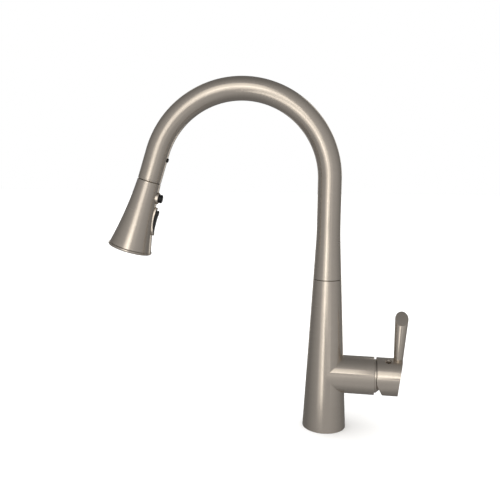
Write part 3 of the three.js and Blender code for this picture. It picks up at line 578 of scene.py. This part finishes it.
cap = {"radius": 22.6, "rim": 61.6, "reach": 89.5, "crown": 130, "lean": math.radians(6.5),
       "relief": math.radians(22.5), "reliefDrop": 3, "socket": 25.0, "screwAt": 75.2,
       "screwLean": math.radians(20), "edge": 0.35}
lever = {"reach": 86.75, "lean": math.radians(2.44), "foot": 5.4, "head": 7.8, "top": 146.6,
         "cut": math.radians(43.7), "seat": 19.9, "edge": 0.85}
leverRise = lever["top"] - handleHeight - lever["seat"]
leverPlace = handlePlace @ shift(lever["reach"], 0, lever["seat"]) @ Matrix.Rotation(lever["lean"], 4, "Y")
screwPlace = handlePlace @ shift(cap["screwAt"]) @ Matrix.Rotation(cap["screwLean"], 4, "X")
inHandle = handlePlace.inverted()


def crownedFace():
    # everything behind the cap's outer face, which bulges across and leans
    tall = 4 * cap["radius"]
    reach = cap["radius"] + 4
    curve = []
    for i in range(49):
        y = reach * (i / 24 - 1)
        curve.append((math.sqrt(cap["crown"] ** 2 - y * y) - cap["crown"], y))
    edge = curve[0][0]
    outline = [(-cap["reach"], -tall), (edge, -tall)] + curve + [(edge, tall), (-cap["reach"], tall)]
    face = pushed("face", outline, -tall, tall)
    return moved(face, Matrix.Rotation(cap["lean"], 4, "Y"), shift(cap["reach"]))


def makeCap():
    blank = turned("leverCap", softened([
        (0, cap["rim"]), (cap["radius"], cap["rim"], 0.5), (cap["radius"], cap["reach"] + 12),
        (0, cap["reach"] + 12)]), 168)
    moved(blank, towardX)
    shaped(blank, "INTERSECT", crownedFace())
    socket = []
    rimBore = math.sqrt(cap["socket"] ** 2 - (cap["rim"] - pivotReach) ** 2)
    end = math.acos((cap["rim"] - pivotReach) / cap["socket"])
    for i in range(25):
        turn = end * (1 - i / 24)
        socket.append((cap["socket"] * math.sin(turn), pivotReach + cap["socket"] * math.cos(turn)))
    hollow = turned("socket", [(0, cap["rim"] - 5), (rimBore, cap["rim"] - 5)] + socket, 120)
    moved(hollow, towardX)
    size = 4 * cap["radius"]
    relief = pushed("relief", [(-size, -size), (0, -size), (0, size), (-size, size)], -size, size)
    moved(relief, Matrix.Rotation(-cap["relief"], 4, "Y"), shift(cap["rim"], 0, -cap["reliefDrop"]))
    screwHole = turned("screwHole", [(0, 0), (2.3, 0), (2.3, 15), (3.1, 15.5), (3.1, 20.9),
                                      (3.85, 21.5), (4.1, 40), (0, 40)], 64)
    moved(screwHole, inHandle @ screwPlace)
    slope = (lever["head"] - lever["foot"]) / (leverRise - 7)
    seat = turned("seat", [(0, -11.3), (3.3, -11.3), (3.3, 0), (lever["foot"] + gap, 0),
                           (lever["foot"] + gap + 12 * slope, 12), (0, 12)], 72)
    moved(seat, inHandle @ leverPlace)
    cut(blank, hollow, relief, screwHole, seat)
    eased(blank, cap["edge"])
    return fitted(blank, handlePlace, "brushed_nickel", "lever", "handle_cap", sharp=24)


def makeLever():
    length = leverRise / math.cos(lever["lean"]) + 6
    rod = turned("leverArm", softened([
        (0, -11), (3, -11, 0.4), (3, gap), (lever["foot"], gap, 0.3), (lever["head"], length - 13),
        (lever["head"], length), (0, length)]), 96)
    moved(rod, inHandle @ leverPlace)
    size = 10 * lever["head"]
    half = size / 2
    slope = pushed("slope", [(-half, -half), (half, -half), (half, half), (-half, half)], 0, size)
    topReach = lever["reach"] + leverRise * math.tan(lever["lean"])
    moved(slope, Matrix.Rotation(lever["cut"], 4, "X"),
          shift(topReach, lever["head"], lever["top"] - handleHeight))
    cut(rod, slope)
    eased(rod, lever["edge"], 4)
    return fitted(rod, handlePlace, "brushed_nickel", "lever", "lever_rod", sharp=24)


def makeCapScrew():
    start = 3.5 / math.cos(cap["screwLean"]) + 1.3
    screw = turned("capScrew", softened([(0, start), (2, start + 1.2), (2, 13.5, 0.3), (0, 13.5)]), 48)
    cut(screw, turned("hexSocket", [(0, 10.5), (1.15, 10.5), (1.15, 14.5), (0, 14.5)], 6))
    return fitted(screw, screwPlace, "steel", "lever", "set_screw")


makeCap()
makeLever()
makeCapScrew()
print("stage: handle made")


# Gooseneck and docking collar
gooseneck = {"tubeRadius": 14.0, "bore": 12.8, "riserTop": 302.7, "archRadius": 104.55, "outlet": 35.5,
             "taperEnd": 222, "blendEnd": 250, "swivelBore": 13.9, "swivelDepth": 31, "boreStart": 33,
             "step": 2.6, "sides": 112}
dock = {"inside": 11.0, "outside": 12.5, "length": 33, "screwAt": 29.5, "screwRadius": 2.0, "screwHead": 2.6,
        "hexRadius": 1.0}


def alongTube(start, end, step):
    count = max(2, round((end - start) / step))
    return [start + (end - start) * i / count for i in range(count + 1)]


def makeGooseneck():
    neck = gooseneck
    sweep = math.pi - outletTilt
    archEnd = neck["riserTop"] + neck["archRadius"] * sweep
    end = archEnd + neck["outlet"] - gap
    low = bodyHeight + 0.4
    taper = []
    start = coneRadius(neck["taperEnd"])
    for i in range(13):
        t = i / 12
        radius = start + (neck["tubeRadius"] - start) * t * (2 - t)
        taper.append((radius, neck["taperEnd"] + (neck["blendEnd"] - neck["taperEnd"]) * t))
    outer = [(neck["tubeRadius"], z) for z in alongTube(neck["blendEnd"], end - 0.5, neck["step"])[1:]]
    rim = [(neck["tubeRadius"] - 0.12, end - 0.15), (neck["tubeRadius"] - 0.5, end), (neck["bore"] + 0.3, end)]
    inside = alongTube(bodyHeight + neck["boreStart"], end - 0.3, 2 * neck["step"])
    inner = [(neck["bore"], z) for z in inside[::-1]]
    socket = [(neck["swivelBore"], bodyHeight + neck["swivelDepth"]), (neck["swivelBore"], low)]
    foot = [(body["neckRadius"] - 0.5, low), (body["neckRadius"] - 0.15, low + 0.15),
            (body["neckRadius"], low + 0.5), (coneRadius(bodyHeight + 2), bodyHeight + 2)]
    blank = turned("gooseneckTube", foot + taper + outer + rim + inner + socket, neck["sides"])
    sizes = {"Riser Top": neck["riserTop"], "Arch Radius": neck["archRadius"], "Sweep": sweep,
             "Material": finishes["brushed_nickel"]}
    bendOnArch(blank, sizes)
    return fitted(blank, spoutPlace, "brushed_nickel", "spout", "spout_tube")


def makeDock():
    bore = dock["inside"] + 0.6
    collar = turned("dockCollarRing", softened([
        (bore, 0.5, 0.2), (dock["outside"], 0.5, 0.2), (dock["outside"], dock["length"], 0.3),
        (bore, dock["length"], 0.2), (dock["inside"], dock["length"] - 3, 0.3), (dock["inside"], 3, 0.5)]), 96)
    fitted(collar, headPlace, "black_plastic", "spout", "dock_collar")
    surface = gooseneck["tubeRadius"] + 0.25
    screw = turned("dockScrewHead", softened([
        (0, 11.3), (dock["screwRadius"], 11.3), (dock["screwRadius"], surface),
        (dock["screwHead"], surface, 0.15), (dock["screwHead"], 14.9, 0.3), (1.9, 15.3, 0.3), (0, 15.3)]), 48)
    cut(screw, turned("hexSocket", [(0, 14.5), (dock["hexRadius"], 14.5), (dock["hexRadius"], 16), (0, 16)], 6))
    moved(screw, towardX, shift(z=dock["screwAt"]))
    fitted(screw, headPlace, "black_plastic", "spout", "dock_screw")


makeGooseneck()
makeDock()
print("stage: gooseneck made")


# s is the distance down from the seam along the spray head
spray = {"length": 86.6, "wall": 1.5, "lip": 3.5, "proud": 0.75, "pauseAt": 18.5, "rockerAt": 48.0,
         "topRadius": 14.1, "taper": 0.05, "flare": 0.00105, "sides": 168}


def headRadius(s):
    return spray["topRadius"] + spray["taper"] * s + spray["flare"] * s * s


def headSlope(s):
    return math.atan(spray["taper"] + 2 * spray["flare"] * s)


pauseSlope = headSlope(spray["pauseAt"])
rockerSlope = headSlope(spray["rockerAt"])
pausePlace = sidePlace(spray["pauseAt"], pauseSlope)
rockerPlace = sidePlace(spray["rockerAt"], rockerSlope)
inHead = headPlace.inverted()
pause = {"surface": headRadius(spray["pauseAt"]), "bezel": 7.0, "button": 5.05}
rocker = {"surface": headRadius(spray["rockerAt"]) * math.cos(rockerSlope), "length": 34.2, "width": 11.2,
          "frameWall": 1.2, "inset": 1.7, "rim": 3.2, "dish": 70, "dishRise": 0.6, "edge": 0.3}
shellEnd = spray["length"] - spray["lip"] - gap
lipRadius = headRadius(shellEnd) + spray["proud"]


def hung(points):
    # heights given as distances down from the seam
    return [(point[0], -point[1], *point[2:]) for point in points]


def boat(inset, count=88):
    # boat-shaped outline along x, a little pointed at both ends
    outline = []
    for i in range(count):
        turn = 2 * math.pi * i / count
        x = (rocker["length"] / 2 - inset) * math.cos(turn)
        y = (rocker["width"] / 2 - inset) * math.copysign(abs(math.sin(turn)) ** 0.8, math.sin(turn))
        outline.append((x, y))
    return outline


def makeSprayShell():
    top = 0.4
    steps = 60
    outside = [(headRadius(top) - 0.35, top), (headRadius(top) - 0.1, top + 0.1)]
    inside = []
    for i in range(steps + 1):
        s = top + 0.35 + (shellEnd - top - 0.35) * i / steps
        outside.append((headRadius(s), s))
        if s > 3.2:
            inside.append((headRadius(s) - spray["wall"], s))
    profile = outside + inside[::-1] + [(headRadius(3) - spray["wall"], 3), (9.9, 3), (9.9, top)]
    shell = turned("sprayShell", hung(profile), spray["sides"])
    opening = pause["bezel"] + gap
    pauseHole = turned("pauseHole", [(0, 9), (opening, 9), (opening, 30), (0, 30)], 72)
    moved(pauseHole, inHead @ pausePlace)
    rockerHole = moved(pushed("rockerHole", boat(-gap), 10, 34), inHead @ rockerPlace)
    cut(shell, pauseHole, rockerHole)
    return fitted(shell, headPlace, "brushed_nickel", "spray_head", "head_shell")


def makeLipBead():
    top = shellEnd + gap
    low = spray["length"]
    outer = lipRadius + 0.4
    bead = turned("lipBead", softened(hung([
        (lipRadius - 2.8, top), (lipRadius - 1.1, top, 0.1), (lipRadius - 0.9, top + 0.3),
        (outer, top + 0.45, 0.5), (outer, low - 0.9, 0.8), (lipRadius - 0.9, low - 0.05, 0.6),
        (lipRadius - 1.9, low, 0.5), (lipRadius - 2.8, low - 0.8, 0.3)]), 5), spray["sides"])
    return fitted(bead, headPlace, "brushed_nickel", "spray_head", "lip_ring", sharp=40)


def makePause():
    face = pause["surface"]
    trim = turned("pauseTrim", softened([
        (pause["button"] + gap, face - 2.2), (pause["bezel"], face - 2.2), (pause["bezel"], face + 1.3, 0.2),
        (pause["bezel"] - 0.45, face + 1.9, 0.4), (pause["button"] + 0.7, face + 1.35, 0.3),
        (pause["button"] + gap, face + 0.9, 0.3)]), 96)
    fitted(trim, pausePlace, "brushed_nickel", "spray_head", "pause_bezel")
    crown = []
    for i in range(1, 9):
        reach = (pause["button"] - 0.7) * (1 - i / 8)
        crown.append((reach, face + 6.2 - 0.012 * reach * reach))
    button = turned("pauseCap", softened([
        (0, face - 2.6), (pause["button"], face - 2.6, 0.2), (pause["button"], face + 5.95, 0.9)]) + crown, 72)
    fitted(button, pausePlace, "black_plastic", "pause", "pause_button")


def makePauseSpring():
    # a loose coil behind the button, which closes up as the button goes in
    coil = {"inner": 8.75, "outer": 12.2, "radius": 3.05, "wire": 0.22, "turns": 3.0, "closed": 0.45}
    sizes = {"Turns": coil["turns"], "Coil Radius": coil["radius"], "Wire": coil["wire"],
             "Length": coil["outer"] - coil["inner"] - 2 * coil["wire"], "Material": finishes["steel"]}
    tree, given, close = newTree("coil spring", sizes)
    helix = node(tree, "GeometryNodeCurveSpiral", {
        "Resolution": 28, "Rotations": given["Turns"], "Start Radius": given["Coil Radius"],
        "End Radius": given["Coil Radius"], "Height": given["Length"], "Reverse": False})
    section = node(tree, "GeometryNodeCurvePrimitiveCircle", {"Resolution": 8, "Radius": given["Wire"]})
    wire = node(tree, "GeometryNodeCurveToMesh", {"Curve": helix.outputs[0],
                                                  "Profile Curve": section.outputs[0], "Fill Caps": True})
    close(wire.outputs[0])
    spring = grown(emptyPiece("pauseCoil"), tree, sizes)
    moved(spring, shift(z=coil["inner"] + coil["wire"]))
    fitted(spring, pausePlace, "steel", "spray_head", "pause_spring")
    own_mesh(spring)


def makeRocker():
    face = rocker["surface"]
    trim = pushed("rockerTrim", boat(0), face - 4.5, face + rocker["rim"])
    inner = pushed("opening", boat(rocker["frameWall"]), face - 6, face + rocker["rim"] + 1)
    dish = turned("dish", [(0, -20), (rocker["dish"], -20), (rocker["dish"], 20), (0, 20)], 360)
    moved(dish, Matrix.Rotation(math.pi / 2, 4, "X"), shift(z=face + rocker["dishRise"] + rocker["dish"]))
    cut(trim, inner, dish)
    eased(trim, 0.22, 3, 50)
    fitted(trim, rockerPlace, "brushed_nickel", "spray_head", "rocker_bezel")

    half = rocker["length"] / 2 - rocker["inset"]
    back = face - 3.2
    upper = 2.2 - half
    side = softened([
        (upper, back), (upper, face + 4.4, 0.4), (upper + 0.9, face + 5.05, 0.9),
        (upper + 3.6, face + 4.9, 1.6), (-4, face + 3.4, 3), (4, face + 2.3, 3),
        (half - 1, face + 1.9, 0.8), (half - 1, back)], 6)
    wedge = pushed("rockerCap", side, -rocker["width"], rocker["width"])
    moved(wedge, Matrix.Rotation(math.pi / 2, 4, "X"))
    shaped(wedge, "INTERSECT", pushed("plan", boat(rocker["inset"]), back - 1, face + 9))
    eased(wedge, rocker["edge"], 3, 40)
    fitted(wedge, rockerPlace, "black_plastic", "rocker", "spray_rocker")


makeSprayShell()
makeLipBead()
makePause()
makePauseSpring()
makeRocker()
print("stage: spray head made")


sprayFace = {"aerator": 8.6, "innerCount": 6, "innerRadius": 12.6, "outerCount": 12, "outerRadius": 17.6,
             "hole": 1.4, "front": 79.0, "back": 82.0, "boss": lipRadius - 4.6,
             "matBack": 77, "matFront": 78.7}
faceEnd = spray["length"] - 1.2


def nozzlePattern(name, copied, finish):
    inner = ringOfCopies(name, copied, sprayFace["innerCount"], sprayFace["innerRadius"], finish)
    outer = ringOfCopies(name + "Outer", copied, sprayFace["outerCount"], sprayFace["outerRadius"], finish)
    bpy.data.objects.remove(copied)
    return joinPieces(inner, outer)


def makeSprayFace():
    front = sprayFace["front"]
    back = sprayFace["back"]
    centre = sprayFace["aerator"] + gap
    rim = headRadius(front) - spray["wall"] - 0.5
    plate = turned("sprayPlate", softened(hung([
        (centre, front), (rim, front), (rim, back, 0.3), (sprayFace["boss"], back),
        (sprayFace["boss"], faceEnd, 0.6), (centre, faceEnd, 0.25)])), 144)
    drill = turned("drill", [(0, -spray["length"] - 1), (sprayFace["hole"], -spray["length"] - 1),
                             (sprayFace["hole"], 2 - front), (0, 2 - front)], 24)
    cut(plate, nozzlePattern("drills", drill, "grey_plastic"))
    fitted(plate, headPlace, "grey_plastic", "spray_head", "spray_face")

    tip = spray["length"] - 0.5
    nub = turned("nub", softened(hung([
        (0, 77.2), (1.05, 77.2), (1.0, tip - 1.4), (0.75, tip, 0.25), (0.3, tip, 0.1), (0.25, tip - 1.6),
        (0, tip - 1.6)]), 2), 16)
    nubs = nozzlePattern("nozzleRubber", nub, "grey_rubber")
    matEdge = sprayFace["boss"] - 1
    mat = turned("mat", hung([(10, sprayFace["matBack"]), (matEdge, sprayFace["matBack"]),
                              (matEdge, sprayFace["matFront"]), (10, sprayFace["matFront"])]), 72)
    joinPieces(nubs, mat)
    fitted(nubs, headPlace, "grey_rubber", "spray_head", "nozzle_mat")


def makeAerator():
    cup = turned("aeratorCup", softened(hung([
        (7, sprayFace["matBack"]), (sprayFace["aerator"], sprayFace["matBack"]),
        (sprayFace["aerator"], faceEnd + 0.5, 0.4), (7.3, faceEnd + 0.6, 0.3), (7, faceEnd, 0.2)])), 96)
    fitted(cup, headPlace, "grey_plastic", "spray_head", "aerator")

    # woven gauze: two layers of wires, each wire as long as its chord
    gauze = {"radius": 6.55, "pitch": 0.62, "wire": 0.11, "level": -(faceEnd - 2)}
    count = 2 * int(gauze["radius"] / gauze["pitch"]) - 1
    sizes = {"Wires": count, "Pitch": gauze["pitch"], "Gauze Radius": gauze["radius"], "Wire": gauze["wire"],
             "Level": gauze["level"], "Material": finishes["steel"]}
    tree, given, close = newTree("gauze", sizes)
    index = node(tree, "GeometryNodeInputIndex").outputs[0]
    middle = calc(tree, "DIVIDE", calc(tree, "SUBTRACT", given["Wires"], 1.0), 2.0)
    offset = calc(tree, "MULTIPLY", calc(tree, "SUBTRACT", index, middle), given["Pitch"])
    line = node(tree, "GeometryNodeMeshLine", {"Count": given["Wires"]})
    square = calc(tree, "SUBTRACT", calc(tree, "POWER", given["Gauze Radius"], 2.0),
                  calc(tree, "POWER", offset, 2.0))
    chord = calc(tree, "MULTIPLY", calc(tree, "SQRT", square), 2.0)
    wire = node(tree, "GeometryNodeMeshCylinder", {"Vertices": 6, "Side Segments": 16, "Radius": given["Wire"],
                                                   "Depth": 1.0})
    layers = []
    for turn, rise in ((0, 1), (math.pi / 2, -1)):
        level = calc(tree, "ADD", given["Level"], calc(tree, "MULTIPLY", given["Wire"], 0.9 * rise))
        place = node(tree, "ShaderNodeCombineXYZ", {1: offset, 2: level})
        spots = node(tree, "GeometryNodeSetPosition", {"Geometry": line.outputs[0],
                                                       "Position": place.outputs[0]})
        length = node(tree, "ShaderNodeCombineXYZ", {0: 1.0, 1: 1.0, 2: chord})
        laid = node(tree, "GeometryNodeInstanceOnPoints", {
            "Points": spots.outputs[0], "Instance": wire.outputs["Mesh"], "Rotation": (0, math.pi / 2, 0),
            "Scale": length.outputs[0]})
        layers.append(node(tree, "GeometryNodeTransform", {"Geometry": laid.outputs[0],
                                                           "Rotation": (0, 0, turn)}).outputs[0])
    both = node(tree, "GeometryNodeJoinGeometry")
    for layer in layers:
        tree.links.new(layer, both.inputs[0])
    close(both.outputs[0])
    woven = grown(emptyPiece("aeratorGauze"), tree, sizes)
    rim = turned("gauzeRim", softened(hung([(6.1, faceEnd - 2.5), (6.8, faceEnd - 2.5), (6.8, faceEnd - 1.5),
                                            (6.1, faceEnd - 1.5)])), 72)
    joinPieces(woven, rim)
    fitted(woven, headPlace, "steel", "spray_head", "aerator_screen")


makeSprayFace()
makeAerator()
print("stage: spray face made")


# Hose end and the stretch of hose that pulls out

hose = {"radius": 6.0, "core": 5.3, "strands": 8, "turns": 8, "ribbon": 1.75, "thick": 0.22, "weave": 0.16,
        "topAbove": 35.2, "endAbove": 24.3, "fixedAbove": 34.6, "freeAbove": 29.2}


hoseNut = {"radius": 10.2, "bore": 9, "hoseBore": 5.6, "low": 0.2, "shoulder": 19, "top": 21, "seat": 17.5,
           "ribs": 30, "ribWidth": 0.5, "ribReach": 9.98}
sleeve = {"flange": 8.4, "waist": 5.2, "radius": 6.9, "crimped": 6.55, "crimps": 3, "firstCrimp": 22.4,
          "pitch": 2.0}


def makeHoseNut():
    low = hoseNut["low"]
    top = hoseNut["top"]
    nut = turned("hoseNutBody", softened([
        (hoseNut["bore"], low), (hoseNut["radius"], low, 0.2), (hoseNut["radius"], hoseNut["shoulder"], 0.3),
        (9.3, top, 0.5), (hoseNut["hoseBore"], top, 0.2), (hoseNut["hoseBore"], hoseNut["seat"]),
        (hoseNut["bore"], hoseNut["seat"])]), 96)
    width = hoseNut["ribWidth"]
    rib = turned("rib", softened([(0, 1.2), (width, 1.2, 0.3), (width, 18.2, 0.3), (0, 18.2)]), 8)
    ribs = ringOfCopies("ribs", rib, hoseNut["ribs"], hoseNut["ribReach"], "grey_plastic")
    bpy.data.objects.remove(rib)
    joinPieces(nut, ribs)
    return fitted(nut, headPlace, "grey_plastic", "spray_head", "hose_nut")


def makeCrimpSleeve():
    # a steel sleeve crimped on the hose in three rings
    full = sleeve["radius"]
    points = [(3, 12.5), (sleeve["flange"], 12.5, 0.3), (sleeve["flange"], 17.2, 0.3), (sleeve["waist"], 17.2),
              (sleeve["waist"], 21.3), (full, 21.3, 0.3)]
    for ring in range(sleeve["crimps"]):
        low = sleeve["firstCrimp"] + sleeve["pitch"] * ring
        points += [(full, low, 0.2), (sleeve["crimped"], low + 0.35, 0.2), (sleeve["crimped"], low + 0.95, 0.2),
                   (full, low + 1.3, 0.2)]
    points += [(full, 29, 0.4), (6.3, 29, 0.2), (6.3, 24), (3, 24)]
    piece = turned("crimpSleeve", softened(points, 3), 96)
    return fitted(piece, headPlace, "steel", "hose_end", "hose_ferrule")


def stowed(piece):
    # drawn as it is when pulled right out, with z as the length below the hose's fixed point, and gathered
    # up into the outlet so that the blend between spout and hose end draws it out evenly again
    free = hose["fixedAbove"] - hose["freeAbove"]
    count = len(piece.data.vertices)
    place = np.empty(count * 3)
    piece.data.vertices.foreach_get("co", place)
    place = place.reshape(-1, 3)
    drawn = place[:, 2].copy()
    low = np.zeros(count)
    high = np.ones(count)
    for step in range(44):
        middle = (low + high) / 2
        reach = free * middle + pullLength * middle ** 2 * (3 - 2 * middle)
        low = np.where(reach < drawn, middle, low)
        high = np.where(reach < drawn, high, middle)
    share = (low + high) / 2
    gathered = free * share
    gathered = np.where(drawn < 0, drawn, gathered)
    gathered = np.where(drawn > free + pullLength, drawn - pullLength, gathered)
    place[:, 2] = hose["fixedAbove"] - gathered
    piece.data.vertices.foreach_set("co", place.ravel())
    piece.data.update()
    return piece


def blendedHose(piece, finish, *nodes):
    stowed(piece)
    fitted(piece, headPlace, finish, None, *nodes, sharp=60)
    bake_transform(piece)


def makeHose():
    top = hose["fixedAbove"] - hose["topAbove"]
    low = hose["fixedAbove"] - hose["endAbove"] + pullLength
    wall = [(hose["core"], z) for z in alongTube(top, low, 5)]
    core = turned("hoseCore", [(3.5, low), (3.5, top)] + wall, 40)
    blendedHose(core, "rubber")

    sizes = {"Strands": hose["strands"], "Turns": float(hose["turns"]), "Radius": hose["radius"] - 0.38,
             "Length": low - top, "Ribbon": hose["ribbon"], "Thickness": hose["thick"], "Weave": hose["weave"],
             "Material": finishes["hose_braid"]}
    tree, given, close = newTree("braid", sizes)
    index = node(tree, "GeometryNodeInputIndex").outputs[0]
    turn = calc(tree, "MULTIPLY", calc(tree, "DIVIDE", index, given["Strands"]), 2 * math.pi)
    facing = node(tree, "ShaderNodeCombineXYZ", {2: turn})
    points = node(tree, "GeometryNodePoints", {"Count": given["Strands"]})
    section = node(tree, "GeometryNodeCurvePrimitiveCircle", {"Resolution": 6, "Radius": 1.0})
    flat = node(tree, "ShaderNodeCombineXYZ", {0: given["Thickness"], 1: given["Ribbon"], 2: 1.0})
    ribbon = node(tree, "GeometryNodeTransform", {"Geometry": section.outputs[0], "Scale": flat.outputs[0]})
    both = node(tree, "GeometryNodeJoinGeometry")
    for reverse, sign in ((False, 1), (True, -1)):
        helix = node(tree, "GeometryNodeCurveSpiral", {
            "Resolution": 4 * hose["strands"] * 2, "Rotations": given["Turns"], "Start Radius": given["Radius"],
            "End Radius": given["Radius"], "Height": given["Length"], "Reverse": reverse})
        # over one strand and under the next
        factor = node(tree, "GeometryNodeSplineParameter").outputs["Factor"]
        crossings = calc(tree, "MULTIPLY", given["Turns"], given["Strands"])
        passed = calc(tree, "MULTIPLY", calc(tree, "MULTIPLY", factor, crossings), 2 * math.pi)
        wave = calc(tree, "MULTIPLY", calc(tree, "COSINE", passed), float(sign))
        depth = calc(tree, "DIVIDE", given["Weave"], given["Radius"])
        lift = calc(tree, "ADD", 1.0, calc(tree, "MULTIPLY", depth, wave))
        place = node(tree, "ShaderNodeSeparateXYZ", {0: node(tree, "GeometryNodeInputPosition").outputs[0]})
        woven = node(tree, "ShaderNodeCombineXYZ", {0: calc(tree, "MULTIPLY", place.outputs[0], lift),
                                                    1: calc(tree, "MULTIPLY", place.outputs[1], lift),
                                                    2: place.outputs[2]})
        waved = node(tree, "GeometryNodeSetPosition", {"Geometry": helix.outputs[0],
                                                       "Position": woven.outputs[0]})
        upright = node(tree, "GeometryNodeSetCurveNormal", {"Curve": waved.outputs[0]}, mode="Z_UP")
        strand = node(tree, "GeometryNodeCurveToMesh", {"Curve": upright.outputs[0],
                                                        "Profile Curve": ribbon.outputs[0], "Fill Caps": True})
        ring = node(tree, "GeometryNodeInstanceOnPoints", {"Points": points.outputs[0],
                                                           "Instance": strand.outputs[0],
                                                           "Rotation": facing.outputs[0]})
        tree.links.new(ring.outputs[0], both.inputs[0])
    close(both.outputs[0])
    braid = grown(emptyPiece("hoseBraid"), tree, sizes)
    moved(braid, shift(z=top))
    blendedHose(braid, "hose_braid", "hose_outlet_run")


makeHoseNut()
makeCrimpSleeve()
makeHose()
print("stage: hose made")


studio = {"floor": (0.93, 0.93, 0.925), "floorSize": 9.0, "front": 0.47, "back": 0.20, "turn": 12,
          "rise": ((-0.99, 0.85), (-0.8, 1.0), (-0.4, 0.92), (-0.15, 1.03), (0.35, 1.0), (0.85, 0.9),
                   (0.98, 0.78)),
          "sun": 3.6, "cream": (1.0, 0.955, 0.88)}
# softboxes: turn from -Y (towards +X is plus), height angle, width and height in degrees, distance, brightness
softboxes = {
    "keyStrip": (-9, -13, 10, 32, 1.2, 1.4),
    "keyWing": (-23, -8, 18, 44, 1.2, 0.4),
    "sideStrip": (27, -8, 12, 40, 1.6, 0.14),
    "backStripRight": (158, 8, 16, 60, 1.6, 0.8),
    "backStripLeft": (-150, 8, 10, 60, 1.6, 0.5),
    "frontBox": (4, 15, 18, 7, 2.4, 1.2),
    "frontPanel": (-2, 20, 28, 48, 1.9, 0.76),
}
lookingAt = Vector((-0.08, 0, 0.22))


def makeSoftboxes():
    for name, (turn, rise, width, height, distance, brightness) in softboxes.items():
        light = bpy.data.lights.new(name, "AREA")
        light.shape = "RECTANGLE"
        light.size = 2 * distance * math.tan(math.radians(width / 2))
        light.size_y = 2 * distance * math.tan(math.radians(height / 2))
        light.energy = brightness * math.pi * light.size * light.size_y
        light.color = studio["cream"]
        lamp = newObject(name, light)
        turn = math.radians(turn)
        rise = math.radians(rise)
        away = Vector((math.sin(turn) * math.cos(rise), -math.cos(turn) * math.cos(rise), math.sin(rise)))
        lamp.location = lookingAt + away * distance
        lamp.rotation_mode = "QUATERNION"
        lamp.rotation_quaternion = away.to_track_quat("Z", "Y")
        lamp.visible_camera = False
    # soft light from straight above keeps the floor even
    above = bpy.data.lights.new("overhead", "SUN")
    above.energy = studio["sun"]
    above.angle = math.radians(120)
    lamp = newObject("overhead", above)
    lamp.location = (0, 0, 2.4)
    lamp.visible_glossy = False


def makeFloor():
    half = studio["floorSize"]
    mesh = bpy.data.meshes.new("floor")
    corners = [(-half, -half, 0), (half, -half, 0), (half, half, 0), (-half, half, 0)]
    mesh.from_pydata(corners, [], [(0, 1, 2, 3)])
    floor = newObject("floor", mesh)
    material, tree, shader = newFinish("paleFloor", 0.8)
    shader.inputs["Base Color"].default_value = (*studio["floor"], 1)
    shader.inputs["Specular IOR Level"].default_value = 0.0
    mesh.materials.append(material)
    floor.visible_glossy = False


def makeSurroundings():
    world = bpy.data.worlds.new("studio")
    bpy.context.scene.world = world
    world.use_nodes = True
    tree = world.node_tree
    background = tree.nodes["Background"]
    direction = node(tree, "ShaderNodeTexCoord").outputs["Generated"]
    parts = node(tree, "ShaderNodeSeparateXYZ", {0: direction})
    turn = math.radians(studio["turn"])
    east = calc(tree, "MULTIPLY", parts.outputs[0], math.sin(turn))
    south = calc(tree, "MULTIPLY", parts.outputs[1], -math.cos(turn))
    facing = spread(tree, calc(tree, "ADD", east, south), -0.5, 1.0, studio["back"], studio["front"])
    # how bright the room is from straight below to straight above
    heights = node(tree, "ShaderNodeValToRGB", {0: spread(tree, parts.outputs[2], -1.0, 1.0, 0.0, 1.0)})
    ramp = heights.color_ramp
    ramp.interpolation = "EASE"
    for stop in studio["rise"]:
        mark = ramp.elements.new((stop[0] + 1) / 2)
        mark.color = (stop[1], stop[1], stop[1], 1)
    ramp.elements.remove(ramp.elements[0])
    ramp.elements.remove(ramp.elements[-1])
    grey = calc(tree, "MULTIPLY", facing, heights.outputs[0])
    tint = node(tree, "ShaderNodeCombineXYZ", {0: grey, 1: calc(tree, "MULTIPLY", grey, 0.985),
                                               2: calc(tree, "MULTIPLY", grey, 0.97)})
    seen = node(tree, "ShaderNodeLightPath").outputs["Is Camera Ray"]
    mixed = node(tree, "ShaderNodeMix", data_type="RGBA")
    tree.links.new(seen, mixed.inputs[0])
    tree.links.new(tint.outputs[0], mixed.inputs[6])
    mixed.inputs[7].default_value = (1, 1, 1, 1)
    tree.links.new(mixed.outputs[2], background.inputs["Color"])


def makeCamera():
    view = {"place": (0.0231, -0.6894, 0.3070), "yaw": 9.698, "pitch": -7.347, "roll": 0.486, "lens": 41.49}
    camera = newObject("camera", bpy.data.cameras.new("camera"))
    camera.data.lens = view["lens"]
    camera.data.sensor_width = 36
    turn = Matrix.Rotation(math.radians(view["yaw"]), 4, "Z")
    tip = Matrix.Rotation(math.radians(90 + view["pitch"]), 4, "X")
    roll = Matrix.Rotation(math.radians(view["roll"]), 4, "Z")
    camera.matrix_world = Matrix.Translation(view["place"]) @ turn @ tip @ roll
    camera.data.clip_start = 0.01
    bpy.context.scene.camera = camera


makeSoftboxes()
makeFloor()
makeSurroundings()
makeCamera()
bpy.context.scene.view_settings.view_transform = "Standard"
print("stage: studio made")
